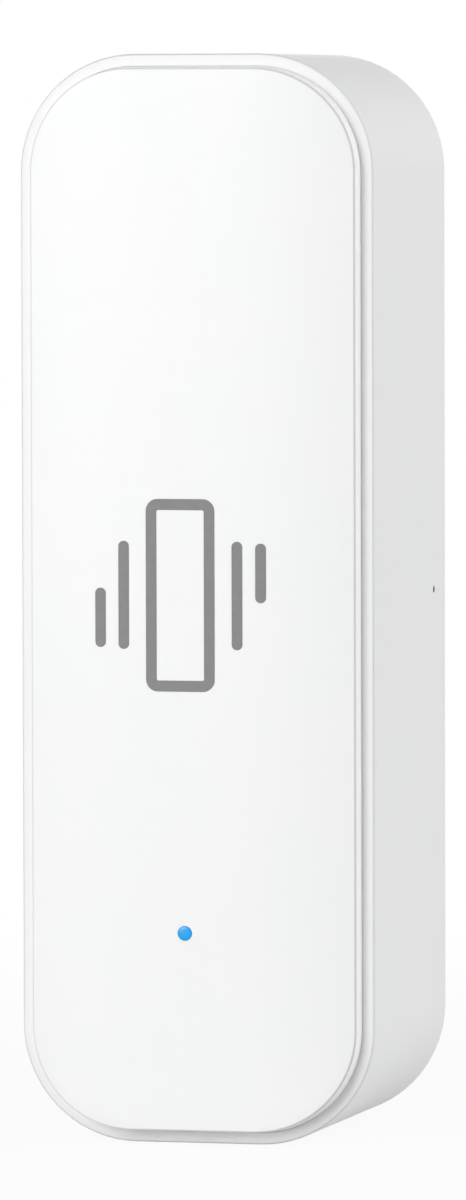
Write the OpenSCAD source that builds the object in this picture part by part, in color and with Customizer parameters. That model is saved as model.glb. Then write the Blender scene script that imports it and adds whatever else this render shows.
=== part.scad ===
// Vibration sensor tag: a small upright case that is stuck to a door, window or machine by its back.
// The rear housing holds the circuit board and two AAA cells, and the front cover pulls off.
// +Z is up and the front faces -Y. The origin is the middle of the adhesive pad's outer face.

/* [Battery cells] */
// Diameter of a cell
cell_d = 10.5; // [9.5:0.1:12]
// Length of a cell over its button
cell_l = 44.5; // [40:0.1:50]
// Wall of a cell's can
can_wall = 0.3; // [0.2:0.05:0.6]
// Diameter of a cell's button
button_d = 3.6; // [2.6:0.1:5]
// Height of a cell's button above its can
button_h = 0.9; // [0.6:0.05:1.4]
// Thickness of the cap that closes a cell's can
cap_t = 0.6; // [0.4:0.05:1]
// Room round the filling and the cap inside a can
can_fit = 0.05; // [0.02:0.01:0.1]
// Gap between the two cells
cell_gap = 0.3; // [0.2:0.05:1]
// Gap between a cell and the wall beside it
cell_side_gap = 0.15; // [0.1:0.05:0.5]

/* [Rear housing] */
// Thickness of the side walls
wall = 1.2; // [1.1:0.05:1.8]
// Thickness of the back
back_wall = 1.4; // [1:0.1:2.5]
// Corner radius seen from the front
corner_r = 7.75; // [6.5:0.05:9]
// Rounding of the back edge
back_edge_r = 0.4; // [0.2:0.05:0.8]
// Thickness of the lip that stands round the cover
rim_lip = 0.8; // [0.5:0.05:1]
// Depth of the cover's seat behind the rim
seat_depth = 1.5; // [1:0.1:2.5]
// Height of the bay below the cells
bay_h = 15.5; // [15:0.1:20]
// Diameter of the screw bosses
boss_d = 4.2; // [3.6:0.1:5]
// Diameter of the reset pinhole
pinhole_d = 0.5; // [0.4:0.05:1]

/* [Front cover] */
// How far the cover stands out of the rim
cover_proud = 1.6; // [0.8:0.1:3]
// Thickness of the cover's front
cover_wall = 1.6; // [1:0.1:2.4]
// Gap between the cover and the lip
cover_gap = 0.12; // [0.08:0.01:0.2]
// Inward lean of the cover's side from the rim to the face
cover_draft = 0.1; // [0:0.02:0.3]
// Rounding of the cover's front edge
cover_edge_r = 0.4; // [0.2:0.05:0.7]
// Thickness of the skirt
skirt_t = 0.9; // [0.6:0.1:1.4]
// Gap between the skirt and the housing's wall
skirt_gap = 0.3; // [0.2:0.05:0.5]
// Gap between the cover and its seat
seat_gap = 0.05; // [0.02:0.01:0.1]
// Length of a snap nib
nib_l = 6; // [3:0.5:10]
// Height of a snap nib and of the bead that holds it
nib_h = 0.5; // [0.3:0.05:0.8]
// Gap between a nib and its bead
snap_gap = 0.2; // [0.1:0.05:0.4]
// Distance of the snap nibs from the middle of the long sides
nib_y = 18; // [10:0.5:22]

/* [Symbol] */
// Sideways place of the symbol's middle
symbol_x = -0.7; // [-3:0.1:3]
// Height of the symbol's middle above the middle of the case
symbol_y = 0.37; // [-5:0.01:5]
// Width of the symbol's upright frame
frame_w = 4.68; // [3:0.02:5]
// Height of the symbol's upright frame
frame_h = 12.7; // [8:0.1:16]
// Outer corner radius of the frame
frame_r = 0.8; // [0.5:0.05:1.2]
// Width of the drawn lines
stroke = 0.73; // [0.4:0.01:0.9]
// Distance of the long bars from the symbol's middle
long_bar_x = 3.86; // [3.2:0.02:4.4]
// Length of the long bars
long_bar_h = 7.14; // [4:0.02:10]
// Distance of the short bars from the symbol's middle
short_bar_x = 5.46; // [5:0.02:7]
// Length of the short bars
short_bar_h = 3.92; // [2:0.02:6]
// How far the short bars are moved off the middle, down on the left and up on the right
short_bar_y = 1.5; // [0:0.1:3]
// Thickness of the ink
ink_t = 0.03; // [0.02:0.01:0.1]

/* [Status light] */
// Sideways place of the light
light_x = -0.44; // [-3:0.02:3]
// Distance of the light below the battery tray
light_drop = 2.65; // [2.4:0.05:4]
// Diameter of the light in the cover's face
light_d = 0.96; // [0.6:0.02:2]
// Diameter of the light pipe behind the cover
pipe_d = 2.4; // [1.6:0.1:3]
// Diameter of the flange that is glued behind the cover
pipe_flange_d = 3.6; // [3:0.1:5]
// Thickness of that flange
pipe_flange_t = 0.8; // [0.5:0.1:1.2]
// Gap between the light pipe and the lamp on the board
pipe_gap = 0.4; // [0.2:0.05:0.8]
// Room round the light pipe's tip in the cover
pipe_fit = 0.02; // [0.01:0.01:0.05]

/* [Battery tray] */
// Thickness of the tray's floor
tray_floor = 0.8; // [0.6:0.1:1.5]
// Thickness of the tray's end walls
tray_end = 1; // [0.8:0.1:1.6]
// Gap between the tray and the housing's wall
tray_gap = 0.3; // [0.15:0.05:0.6]
// Gap between a cell and its cradle
cradle_gap = 0.1; // [0.05:0.01:0.15]
// Height of the cradles above the tray's floor
cradle_h = 1.6; // [1.2:0.1:2.4]
// Height of the end walls above the tray's floor
tray_end_h = 9.6; // [7:0.1:11]
// Gap in front of the cells, up to the cover's skirt
cell_front_gap = 0.6; // [0.4:0.1:2]

/* [Contacts] */
// Thickness of the contact plates
plate_t = 0.4; // [0.3:0.05:0.6]
// Width of the contact plate behind one cell
plate_w = 7.6; // [6.8:0.1:9]
// Height of the dimple that meets a button
dimple_h = 0.2; // [0.1:0.05:0.4]
// Diameter of that dimple
dimple_d = 3; // [2:0.1:4]
// Gap between a button and its dimple
contact_gap = 0.02; // [0.01:0.01:0.05]
// Length of a cell spring as it is fitted
spring_l = 3.5; // [3:0.1:5]
// Wire of a cell spring
spring_wire = 0.5; // [0.3:0.05:0.5]
// Radius of a cell spring at its plate
spring_r = 3.2; // [2.6:0.1:3.3]
// Radius of a cell spring at its cell
spring_tip_r = 1.7; // [1.2:0.1:2]
// Width of the solder tabs
tab_w = 1.6; // [1:0.1:2.4]
// Length of a solder tab behind the board
tab_l = 0.8; // [0.4:0.1:1.2]
// Room round a solder tab
tab_fit = 0.1; // [0.05:0.01:0.2]

/* [Circuit board] */
// Thickness of the board
board_t = 1; // [0.8:0.1:1.6]
// Height of the space behind the board
board_gap = 3.1; // [2.6:0.1:4.5]
// Gap between the board and the housing's wall
board_side_gap = 0.4; // [0.2:0.05:0.8]
// Gap between neighbouring parts on the board
part_gap = 0.8; // [0.5:0.05:1]
// Width, height and thickness of the lamp
lamp = [1.6, 0.8, 0.5]; // [0.4:0.1:2]
// Distance of the antenna and the regulator from the board's left edge
board_edge = 1.6; // [1.4:0.1:2]
// Height of the shield over the radio
shield_h = 7.6; // [6:0.1:8]
// Thickness of the shield over the radio
shield_d = 1.8; // [1.5:0.1:2.4]
// Sheet thickness of the shield
shield_t = 0.2; // [0.1:0.05:0.3]
// Width, height and thickness of the radio chip
radio = [5, 5, 0.8]; // [0.6:0.1:6]
// Width, height and thickness of the inductor
inductor = [3, 3, 1.5]; // [1:0.1:3.4]
// Width, height and thickness of the storage capacitor
reservoir = [3.5, 2.8, 1.9]; // [1:0.1:4]
// Width, height and thickness of the regulator
regulator_size = [1.6, 2.9, 1.1]; // [0.8:0.1:3.2]
// Width, height and thickness of the chip antenna
antenna = [1.6, 3.2, 1.1]; // [0.8:0.1:3.6]
// Width, height and thickness of the quartz crystal
quartz = [2.5, 2, 0.6]; // [0.4:0.1:3]
// Width of a small chip part
chip_w = 1; // [0.8:0.1:1.2]
// Height of a small chip part
chip_h = 0.5; // [0.4:0.1:0.8]
// Thickness of a small chip part
chip_t = 0.4; // [0.3:0.1:0.6]
// Number of small capacitors below the shield
capacitors = 5; // [1:1:6]
// Number of small resistors above the vibration switch
resistors = 3; // [1:1:3]

/* [Vibration switch] */
// Outer diameter of the vibration switch's can
sway_can_d = 4.6; // [4.4:0.1:5]
// Height of the can
sway_can_h = 9.5; // [8.5:0.1:11]
// Wall of the can
sway_can_wall = 0.3; // [0.2:0.05:0.35]
// Distance of the can from the board's right edge
sway_edge = 1.9; // [1.5:0.1:2.2]
// Thickness of the plug that closes the can
sway_base_t = 1; // [0.6:0.1:1.6]
// Diameter of the centre post
sway_post_d = 0.7; // [0.5:0.05:0.8]
// Wire of the swaying spring
sway_wire = 0.3; // [0.2:0.05:0.35]
// Radius of the swaying spring
sway_r = 1.2; // [1.1:0.05:1.3]
// Number of curls of the swaying spring
sway_turns = 7; // [4:1:8]
// Rise of each curl
sway_pitch = 0.8; // [0.78:0.02:0.85]
// Gap under the swaying spring
sway_gap = 0.15; // [0.12:0.01:0.2]
// Room round the post and round the plug
sway_fit = 0.05; // [0.02:0.01:0.1]

/* [Reset switch] */
// Depth of the reset switch from the board's edge inwards
reset_w = 3.4; // [2.8:0.1:4]
// Height of the reset switch along the board's edge
reset_h = 4.6; // [3.6:0.1:6]
// Thickness of the reset switch
reset_t = 1.8; // [1.4:0.1:2]
// Sheet thickness of its metal frame
reset_frame_t = 0.15; // [0.1:0.05:0.2]
// Distance of its body from the board's edge
reset_edge = 0.6; // [0.4:0.1:0.9]
// Width of the plunger
plunger_w = 1.8; // [1.2:0.1:2.4]
// Thickness of the plunger
plunger_t = 0.9; // [0.6:0.1:1]
// Length of the plunger inside the switch
plunger_in = 1.4; // [1:0.1:1.8]
// Travel of the plunger
plunger_travel = 0.25; // [0.15:0.05:0.4]
// Gap between the plunger and the case wall
plunger_gap = 0.25; // [0.1:0.05:0.4]
// Room round the plunger
plunger_fit = 0.05; // [0.03:0.01:0.1]

/* [Screws] */
// Diameter of the screws' shanks
shank_d = 1.6; // [1.2:0.1:2]
// Diameter of the screws' heads
head_d = 3; // [2.4:0.1:3.2]
// Height of the screws' heads
head_h = 1; // [0.7:0.1:1.2]
// Depth of the cross recess
recess_depth = 0.6; // [0.3:0.1:0.6]
// Length of the cross recess's arms
recess_l = 1.8; // [1.2:0.1:2]
// Width of the cross recess's arms
recess_w = 0.4; // [0.3:0.05:0.6]
// Depth of a screw in its boss
screw_bite = 2.4; // [1.8:0.1:2.6]
// Room round a shank in its boss
thread_fit = 0.03; // [0.02:0.01:0.05]
// Room round a shank in the board and the tray
shank_fit = 0.25; // [0.1:0.05:0.4]
// Thickness of the tray under a screw's head
head_floor = 1.2; // [1:0.1:1.4]
// Distance of the tray's screws from the contact plates
tray_screw_in = 8; // [6:0.5:14]

/* [Adhesive pad] */
// Thickness of the adhesive pad
pad_t = 0.8; // [0.4:0.1:1.5]
// Distance of the pad's edge from the edge of the case
pad_inset = 2; // [1:0.1:4]

/* [Hidden] */
$fn = 48;

// Cutting tools reach this far past what they cut
past = 1;
// Joined shapes overlap by this much
sunk = 0.2;
// Each curl of a spring has this many rings, and each ring this many sides
curl_rings = 8;
ring_sides = 6;

// Places across the case: x is to the right
cell_x = (cell_d + cell_gap)/2;
inner_half_w = cell_x + cell_d/2 + cell_side_gap;
body_w = 2*(inner_half_w + wall);
inner_r = corner_r - wall;

// Places up the case: y is upwards, from the middle of the case.
// The cells start where the rounded corners leave room for their shoulders.
shoulder_r = inner_r - cell_side_gap/2;
shoulder_drop = inner_r - sqrt(shoulder_r^2 - (inner_r - cell_side_gap)^2);
can_l = cell_l - button_h;
holder_l = dimple_h + contact_gap + cell_l + spring_l;
contact_drop = shoulder_drop - button_h - contact_gap - dimple_h;
inner_h = contact_drop + holder_l + plate_t + tray_end + bay_h;
body_h = inner_h + 2*wall;
upper_contact_y = inner_h/2 - contact_drop;
lower_contact_y = upper_contact_y - holder_l;
tray_upper_y = upper_contact_y + plate_t + tray_end;
tray_lower_y = lower_contact_y - plate_t - tray_end;
left_base_y = lower_contact_y + spring_l;
right_base_y = upper_contact_y - spring_l;
light_y = tray_lower_y - light_drop;

// Depths: z is towards the front, from the back of the rear housing
board_z = back_wall + board_gap;
board_face_z = board_z + board_t;
tray_face_z = board_face_z + tray_floor;
cell_z = tray_face_z + cradle_gap + cell_d/2;
skirt_z = cell_z + cell_d/2 + cell_front_gap;
nib_z = skirt_z + snap_gap;
bead_z = nib_z + nib_h + snap_gap;
seat_z = bead_z + nib_h + 2*snap_gap;
rim_z = seat_z + seat_depth;
face_z = rim_z + cover_proud;
cover_inner_z = face_z - cover_wall;

// Steps inwards from the outline of the case
cover_inset = rim_lip + cover_gap;
skirt_inset = wall + skirt_gap;
hollow_inset = skirt_inset + skirt_t;
nib_out = skirt_gap/2;
bead_out = skirt_gap/3;

// Places on the board
board_half_w = inner_half_w - board_side_gap;
screw_rim = 0.3;
board_screw_x = board_half_w - boss_d/2 - screw_rim;
board_screw_y = tray_lower_y - boss_d/2 - screw_rim;
sway_x = board_half_w - sway_edge - sway_can_d/2;
inductor_x = (light_x - pipe_d/2 - board_screw_x + head_d/2)/2;
reservoir_x = (light_x + pipe_d/2 + board_screw_x - head_d/2)/2;
regulator_x = max(regulator_size.x, antenna.x)/2 + board_edge - board_half_w;
shield_left_x = regulator_x + max(regulator_size.x, antenna.x)/2 + part_gap;
shield_right_x = sway_x - sway_can_d/2 - part_gap;
shield_x = (shield_left_x + shield_right_x)/2;
shield = [shield_right_x - shield_left_x, shield_h, shield_d];
shield_upper_y = light_y - max(inductor.y, reservoir.y)/2 - part_gap;
shield_y = shield_upper_y - shield.y/2;
regulator_y = shield_upper_y - regulator_size.y/2;
antenna_y = regulator_y - regulator_size.y/2 - part_gap - antenna.y/2;
sway_y = shield_y;
quartz_x = shield_right_x + part_gap + quartz.x/2;
quartz_y = sway_y - sway_can_d/2 - part_gap - quartz.y/2;
chip = [chip_w, chip_h, chip_t];
chip_pitch = chip.x + part_gap/2;
capacitor_y = shield_y - shield.y/2 - part_gap - chip.y/2;
resistor_y = shield_upper_y - chip.y/2;
sway_base_z = board_face_z + sway_base_t;
reset_right_x = board_half_w - reset_edge;
reset_z = board_z - reset_t/2;
plunger_tip_x = inner_half_w - plunger_gap;
plunger_end_x = reset_right_x - plunger_in;
pipe_end_z = board_face_z + lamp.z + pipe_gap;

// The symbol's frame keeps its inner corners a little round
least_r = 0.05;
frame_inner_r = max(frame_r - stroke, least_r);

// Screws through the tray stand in the valley between the cells
tray_head_z = board_face_z + head_floor;
boss_z = board_z - screw_bite;

// Turns the bench frame (x right, y up, z to the front) into the part's frame
module placed()
    translate([0, -pad_t, 0])
        rotate([90, 0, 0])
            children();

// Flat rectangle with round corners
module rounded_rect(w, h, r) {
    square([w - 2*r, h], center = true);
    square([w, h - 2*r], center = true);
    for (sx = [-1, 1], sy = [-1, 1])
        translate([sx*(w/2 - r), sy*(h/2 - r)])
            circle(r);
}

// Outline of the case, stepped inwards
module case_outline(inset)
    rounded_rect(body_w - 2*inset, body_h - 2*inset, corner_r - inset);

// Block with round corners whose edge follows a profile of [step outwards, depth] points
module profiled_block(inset, edge) {
    w = body_w - 2*inset;
    h = body_h - 2*inset;
    r = corner_r - inset;
    low = edge[0].y;
    high = edge[len(edge) - 1].y;
    section = concat([[0, low]], [for (e = edge) [r + e.x, e.y]], [[0, high]]);
    translate([0, 0, (low + high)/2])
        cube([w - 2*r, h - 2*r, high - low], center = true);
    for (i = [0:3]) {
        across = i % 2 == 0 ? w : h;
        along = i % 2 == 0 ? h : w;
        rotate(90*i)
            translate([across/2 - r, 0, 0])
                rotate([90, 0, 0])
                    linear_extrude(along - 2*r, center = true)
                        polygon(section);
        rotate(90*i)
            translate([across/2 - r, along/2 - r, 0])
                rotate_extrude(angle = 90)
                    polygon(section);
    }
}

// Quarter round as profile points, turning from one angle to another about a centre
function quarter(centre, r, from, to) =
    [for (i = [0:6]) let (a = from + (to - from)*i/6) centre + r*[cos(a), sin(a)]];

// Box standing on a face of the board
module on_board(x, y, z, size)
    translate([x - size.x/2, y - size.y/2, z])
        cube(size);

// Centre line of a coil, which can narrow from one radius to another
function coil_line(turns, r0, r1, length) =
    [for (i = [0:turns*curl_rings])
        let (t = i/(turns*curl_rings), a = 360*i/curl_rings, r = r0 + (r1 - r0)*t)
            [r*cos(a), r*sin(a), length*t]];

// Least gap between neighbouring curls
function coil_gap(line, wire) =
    min([for (i = [0:len(line) - 1 - curl_rings]) norm(line[i + curl_rings] - line[i])]) - wire;

// One unbroken wire wound along that line
module coil(turns, r0, r1, length, wire) {
    line = coil_line(turns, r0, r1, length);
    last = len(line) - 1;
    points = [for (i = [0:last], j = [0:ring_sides - 1])
        let (a = 360*i/curl_rings, b = 360*j/ring_sides)
            line[i] + wire/2*[cos(b)*cos(a), cos(b)*sin(a), sin(b)]];
    walls = [for (i = [0:last - 1], j = [0:ring_sides - 1])
        let (k = (j + 1) % ring_sides, p = i*ring_sides, q = p + ring_sides)
            each [[p + j, p + k, q + k], [p + j, q + k, q + j]]];
    end = last*ring_sides;
    ends = [for (j = [1:ring_sides - 2])
        each [[0, j + 1, j], [end, end + j, end + j + 1]]];
    echo(least_gap_between_curls = coil_gap(line, wire));
    polyhedron(points, concat(walls, ends));
}

// Places of the screws: two through the tray, two through the board
module tray_screw_places()
    for (y = [lower_contact_y + tray_screw_in, upper_contact_y - tray_screw_in])
        translate([0, y, 0])
            children();

module board_screw_places()
    for (sx = [-1, 1])
        translate([sx*board_screw_x, board_screw_y, 0])
            children();

// Pan-head screw with a cross recess, its head standing on a given depth
module screw(head_z) {
    difference() {
        union() {
            translate([0, 0, head_z])
                cylinder(h = head_h, d = head_d);
            translate([0, 0, boss_z])
                cylinder(h = head_z - boss_z + sunk, d = shank_d);
        }
        for (turn = [0, 90])
            translate([0, 0, head_z + head_h - recess_depth/2 + past/2])
                rotate(turn)
                    cube([recess_l, recess_w, recess_depth + past], center = true);
    }
}

// Places of the snaps on the two long sides
module snap_places()
    for (side = [0, 180], y = [-nib_y, nib_y])
        rotate(side)
            translate([0, y, 0])
                children();

module rear_housing() color("white") placed()
    difference() {
        union() {
            difference() {
                profiled_block(0, concat(
                    quarter([-back_edge_r, back_edge_r], back_edge_r, -90, 0),
                    [[0, rim_z]]));
                translate([0, 0, back_wall])
                    linear_extrude(rim_z)
                        case_outline(wall);
                translate([0, 0, seat_z])
                    linear_extrude(rim_z)
                        case_outline(rim_lip);
            }
            tray_screw_places()
                translate([0, 0, back_wall - sunk])
                    cylinder(h = board_gap + sunk, d = boss_d);
            board_screw_places()
                translate([0, 0, back_wall - sunk])
                    cylinder(h = board_gap + sunk, d = boss_d);
            snap_places()
                translate([inner_half_w - bead_out, -nib_l/2, bead_z])
                    cube([bead_out + sunk, nib_l, nib_h]);
        }
        tray_screw_places()
            translate([0, 0, boss_z - sunk])
                cylinder(h = board_gap, d = shank_d + 2*thread_fit);
        board_screw_places()
            translate([0, 0, boss_z - sunk])
                cylinder(h = board_gap, d = shank_d + 2*thread_fit);
        translate([inner_half_w - past, 0, reset_z])
            rotate([0, 90, 0])
                cylinder(h = wall + 2*past, d = pinhole_d);
    }

module front_cover() color("whitesmoke") placed()
    difference() {
        union() {
            difference() {
                profiled_block(cover_inset, concat(
                    [[0, seat_z + seat_gap], [0, rim_z]],
                    quarter([-cover_draft - cover_edge_r, face_z - cover_edge_r], cover_edge_r, 0, 90)));
                translate([0, 0, skirt_z])
                    linear_extrude(cover_inner_z - skirt_z)
                        case_outline(hollow_inset);
            }
            translate([0, 0, skirt_z])
                linear_extrude(seat_z + seat_gap + sunk - skirt_z)
                    difference() {
                        case_outline(skirt_inset);
                        case_outline(hollow_inset);
                    }
            snap_places()
                translate([inner_half_w - skirt_gap - sunk, -nib_l/2, nib_z])
                    cube([nib_out + sunk, nib_l, nib_h]);
        }
        translate([light_x, light_y, cover_inner_z - past])
            cylinder(h = cover_wall + 2*past, d = light_d + 2*pipe_fit);
    }

// Bar with round ends
module bar(x, y, length)
    translate([x, y])
        union() {
            square([stroke, length - stroke], center = true);
            for (sy = [-1, 1])
                translate([0, sy*(length - stroke)/2])
                    circle(d = stroke);
        }

module printed_symbol() color("gray") placed()
    translate([symbol_x, symbol_y, face_z])
        linear_extrude(ink_t) {
            difference() {
                rounded_rect(frame_w, frame_h, frame_r);
                rounded_rect(frame_w - 2*stroke, frame_h - 2*stroke, frame_inner_r);
            }
            for (side = [-1, 1]) {
                bar(side*long_bar_x, 0, long_bar_h);
                bar(side*short_bar_x, side*short_bar_y, short_bar_h);
            }
        }

module light_pipe() color("deepskyblue") placed()
    translate([light_x, light_y, 0]) {
        translate([0, 0, cover_inner_z - sunk])
            cylinder(h = cover_wall + sunk, d = light_d);
        translate([0, 0, cover_inner_z - pipe_flange_t])
            cylinder(h = pipe_flange_t, d = pipe_flange_d);
        translate([0, 0, pipe_end_z])
            cylinder(h = cover_inner_z - pipe_flange_t - pipe_end_z + sunk, d = pipe_d);
    }

module adhesive_pad() color("lightgray") placed()
    translate([0, 0, -pad_t])
        linear_extrude(pad_t)
            case_outline(pad_inset);

// Slots for the solder tabs, through whatever lies between two depths
module tab_slots(low, high)
    for (p = [[-cell_x, upper_contact_y + plate_t/2], [cell_x, upper_contact_y + plate_t/2],
              [0, lower_contact_y - plate_t/2]])
        translate([p.x, p.y, (low + high)/2])
            cube([tab_w + 2*tab_fit, plate_t + 2*tab_fit, high - low], center = true);

module battery_tray() color("dimgray") placed()
    difference() {
        intersection() {
            union() {
                translate([-inner_half_w, tray_lower_y, board_face_z])
                    cube([2*inner_half_w, tray_upper_y - tray_lower_y, tray_floor]);
                translate([-inner_half_w, lower_contact_y + tab_fit, board_face_z])
                    cube([2*inner_half_w, holder_l - 2*tab_fit, tray_floor + cradle_h]);
                for (y = [tray_lower_y, tray_upper_y - tray_end])
                    translate([-inner_half_w, y, board_face_z])
                        cube([2*inner_half_w, tray_end, tray_floor + tray_end_h]);
            }
            translate([0, 0, board_face_z - past])
                linear_extrude(tray_floor + tray_end_h + 2*past)
                    case_outline(wall + tray_gap);
        }
        for (sx = [-1, 1])
            translate([sx*cell_x, lower_contact_y, cell_z])
                rotate([-90, 0, 0])
                    cylinder(h = holder_l, d = cell_d + 2*cradle_gap);
        tab_slots(board_face_z - past, tray_face_z + sunk);
        tray_screw_places() {
            translate([0, 0, board_face_z - past])
                cylinder(h = cell_d, d = shank_d + 2*shank_fit);
            translate([0, 0, tray_head_z])
                cylinder(h = cell_d, d = head_d + 2*shank_fit);
        }
    }

module tray_screws() color("silver") placed()
    tray_screw_places()
        screw(tray_head_z);

module board_screws() color("silver") placed()
    board_screw_places()
        screw(board_face_z);

// Contact plate on the tray's floor, with one solder tab through the board
module contact_plate(x, y, w, tab_x) {
    translate([x - w/2, y, tray_face_z])
        cube([w, plate_t, cell_z + plate_w/2 - tray_face_z]);
    translate([tab_x - tab_w/2, y, board_z - tab_l])
        cube([tab_w, plate_t, tray_face_z - board_z + tab_l + sunk]);
}

// Dimple on a plate, standing towards a cell's button
module dimple(x, y, turn)
    translate([x, y, cell_z])
        rotate([turn, 0, 0])
            translate([0, 0, -sunk])
                cylinder(h = dimple_h + sunk, d = dimple_d);

module positive_contact() color("silver") placed() {
    contact_plate(-cell_x, upper_contact_y, plate_w, -cell_x);
    dimple(-cell_x, upper_contact_y, 90);
}

module negative_contact() color("silver") placed()
    contact_plate(cell_x, upper_contact_y, plate_w, cell_x);

module bridge_contact() color("silver") placed() {
    contact_plate(0, lower_contact_y - plate_t, 2*cell_x + plate_w, 0);
    dimple(cell_x, lower_contact_y, -90);
}

// Cell spring that fills the room between a plate and a cell's base
module cell_spring()
    translate([0, 0, spring_wire/2 + contact_gap])
        coil(3, spring_r, spring_tip_r, spring_l - spring_wire - 2*contact_gap, spring_wire);

module negative_spring() color("gainsboro") placed()
    translate([cell_x, upper_contact_y, cell_z])
        rotate([90, 0, 0])
            cell_spring();

module bridge_spring() color("gainsboro") placed()
    translate([-cell_x, lower_contact_y, cell_z])
        rotate([-90, 0, 0])
            cell_spring();

// Places of the cells: the left one has its button up, the right one has it down
module left_cell_place()
    translate([-cell_x, left_base_y, cell_z])
        rotate([-90, 0, 0])
            children();

module right_cell_place()
    translate([cell_x, right_base_y, cell_z])
        rotate([90, 0, 0])
            children();

module cell_can()
    difference() {
        cylinder(h = can_l, d = cell_d);
        translate([0, 0, can_wall])
            cylinder(h = can_l, d = cell_d - 2*can_wall);
    }

module cell_filling()
    translate([0, 0, can_wall])
        cylinder(h = can_l - can_wall - cap_t, d = cell_d - 2*can_wall - 2*can_fit);

module cell_cap() {
    translate([0, 0, can_l - cap_t])
        cylinder(h = cap_t, d = cell_d - 2*can_wall - 2*can_fit);
    translate([0, 0, can_l - sunk])
        cylinder(h = button_h + sunk, d = button_d);
}

module left_cell_can() color("darkslategray") placed() left_cell_place() cell_can();
module left_cell_filling() color("black") placed() left_cell_place() cell_filling();
module left_cell_cap() color("silver") placed() left_cell_place() cell_cap();
module right_cell_can() color("darkslategray") placed() right_cell_place() cell_can();
module right_cell_filling() color("black") placed() right_cell_place() cell_filling();
module right_cell_cap() color("silver") placed() right_cell_place() cell_cap();

module circuit_board() color("seagreen") placed()
    difference() {
        translate([0, 0, board_z])
            linear_extrude(board_t)
                case_outline(wall + board_side_gap);
        tab_slots(board_z - past, board_face_z + past);
        tray_screw_places()
            translate([0, 0, board_z - past])
                cylinder(h = board_t + 2*past, d = shank_d + 2*shank_fit);
        board_screw_places()
            translate([0, 0, board_z - past])
                cylinder(h = board_t + 2*past, d = shank_d + 2*shank_fit);
        translate([sway_x, sway_y, board_z - past])
            cylinder(h = board_t + 2*past, d = sway_post_d + 2*tab_fit);
    }

module status_lamp() color("lightyellow") placed()
    on_board(light_x, light_y, board_face_z, lamp);

module radio_shield() color("lightgray") placed()
    difference() {
        on_board(shield_x, shield_y, board_face_z, shield);
        on_board(shield_x, shield_y, board_face_z - past,
            shield + [-2*shield_t, -2*shield_t, past - shield_t]);
    }

module radio_chip() color("black") placed()
    on_board(shield_x, shield_y, board_face_z, radio);

module boost_inductor() color("dimgray") placed()
    on_board(inductor_x, light_y, board_face_z, inductor);

module storage_capacitor() color("goldenrod") placed()
    on_board(reservoir_x, light_y, board_face_z, reservoir);

module voltage_regulator() color("black") placed()
    on_board(regulator_x, regulator_y, board_face_z, regulator_size);

module chip_antenna() color("white") placed()
    on_board(regulator_x, antenna_y, board_face_z, antenna);

module quartz_crystal() color("silver") placed()
    on_board(quartz_x, quartz_y, board_face_z, quartz);

module chip_capacitors() color("tan") placed()
    for (i = [0:capacitors - 1])
        on_board(shield_right_x - chip.x/2 - i*chip_pitch, capacitor_y, board_face_z, chip);

module chip_resistors() color("black") placed()
    for (i = [0:resistors - 1])
        on_board(quartz_x + i*chip_pitch, resistor_y, board_face_z, chip);

module vibration_can() color("darkgray") placed()
    translate([sway_x, sway_y, board_face_z])
        difference() {
            cylinder(h = sway_can_h, d = sway_can_d);
            translate([0, 0, -past])
                cylinder(h = sway_can_h - sway_can_wall + past, d = sway_can_d - 2*sway_can_wall);
        }

module vibration_base() color("ivory") placed()
    translate([sway_x, sway_y, board_face_z])
        difference() {
            cylinder(h = sway_base_t, d = sway_can_d - 2*sway_can_wall - 2*sway_fit);
            translate([0, 0, -past])
                cylinder(h = sway_base_t + 2*past, d = sway_post_d + 2*sway_fit);
        }

module vibration_post() color("gold") placed()
    translate([sway_x, sway_y, board_z - tab_l])
        cylinder(h = sway_base_z - board_z + tab_l + sway_turns*sway_pitch, d = sway_post_d);

module vibration_spring() color("silver") placed()
    translate([sway_x, sway_y, sway_base_z + sway_gap + sway_wire/2])
        coil(sway_turns, sway_r, sway_r, sway_turns*sway_pitch, sway_wire);

module reset_switch_body() color("black") placed()
    difference() {
        translate([reset_right_x - reset_w, -reset_h/2, board_z - reset_t])
            cube([reset_w, reset_h, reset_t]);
        translate([plunger_end_x - 2*plunger_travel, -plunger_w/2 - plunger_fit,
                   reset_z - plunger_t/2 - plunger_fit])
            cube([plunger_in + 2*plunger_travel + past,
                  plunger_w + 2*plunger_fit, plunger_t + 2*plunger_fit]);
    }

module reset_switch_frame() color("silver") placed()
    translate([reset_right_x - reset_w, 0, board_z]) {
        translate([0, -reset_h/2, -reset_t - reset_frame_t])
            cube([reset_w, reset_h, reset_frame_t]);
        for (sy = [-1, 1])
            translate([reset_w/2, sy*(reset_h + reset_frame_t)/2, -(reset_t + reset_frame_t)/2])
                cube([reset_w, reset_frame_t, reset_t + reset_frame_t], center = true);
    }

module reset_plunger() color("white") placed()
    translate([plunger_end_x, -plunger_w/2, reset_z - plunger_t/2])
        cube([plunger_tip_x - plunger_end_x, plunger_w, plunger_t]);

rear_housing();
front_cover();
printed_symbol();
light_pipe();
adhesive_pad();
battery_tray();
tray_screws();
positive_contact();
negative_contact();
bridge_contact();
negative_spring();
bridge_spring();
left_cell_can();
left_cell_filling();
left_cell_cap();
right_cell_can();
right_cell_filling();
right_cell_cap();
circuit_board();
board_screws();
status_lamp();
radio_shield();
radio_chip();
boost_inductor();
storage_capacitor();
voltage_regulator();
chip_antenna();
quartz_crystal();
chip_capacitors();
chip_resistors();
vibration_can();
vibration_base();
vibration_post();
vibration_spring();
reset_switch_body();
reset_switch_frame();
reset_plunger();
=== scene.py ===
import math
import bmesh
import bpy
from mathutils import Matrix, Vector


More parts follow.
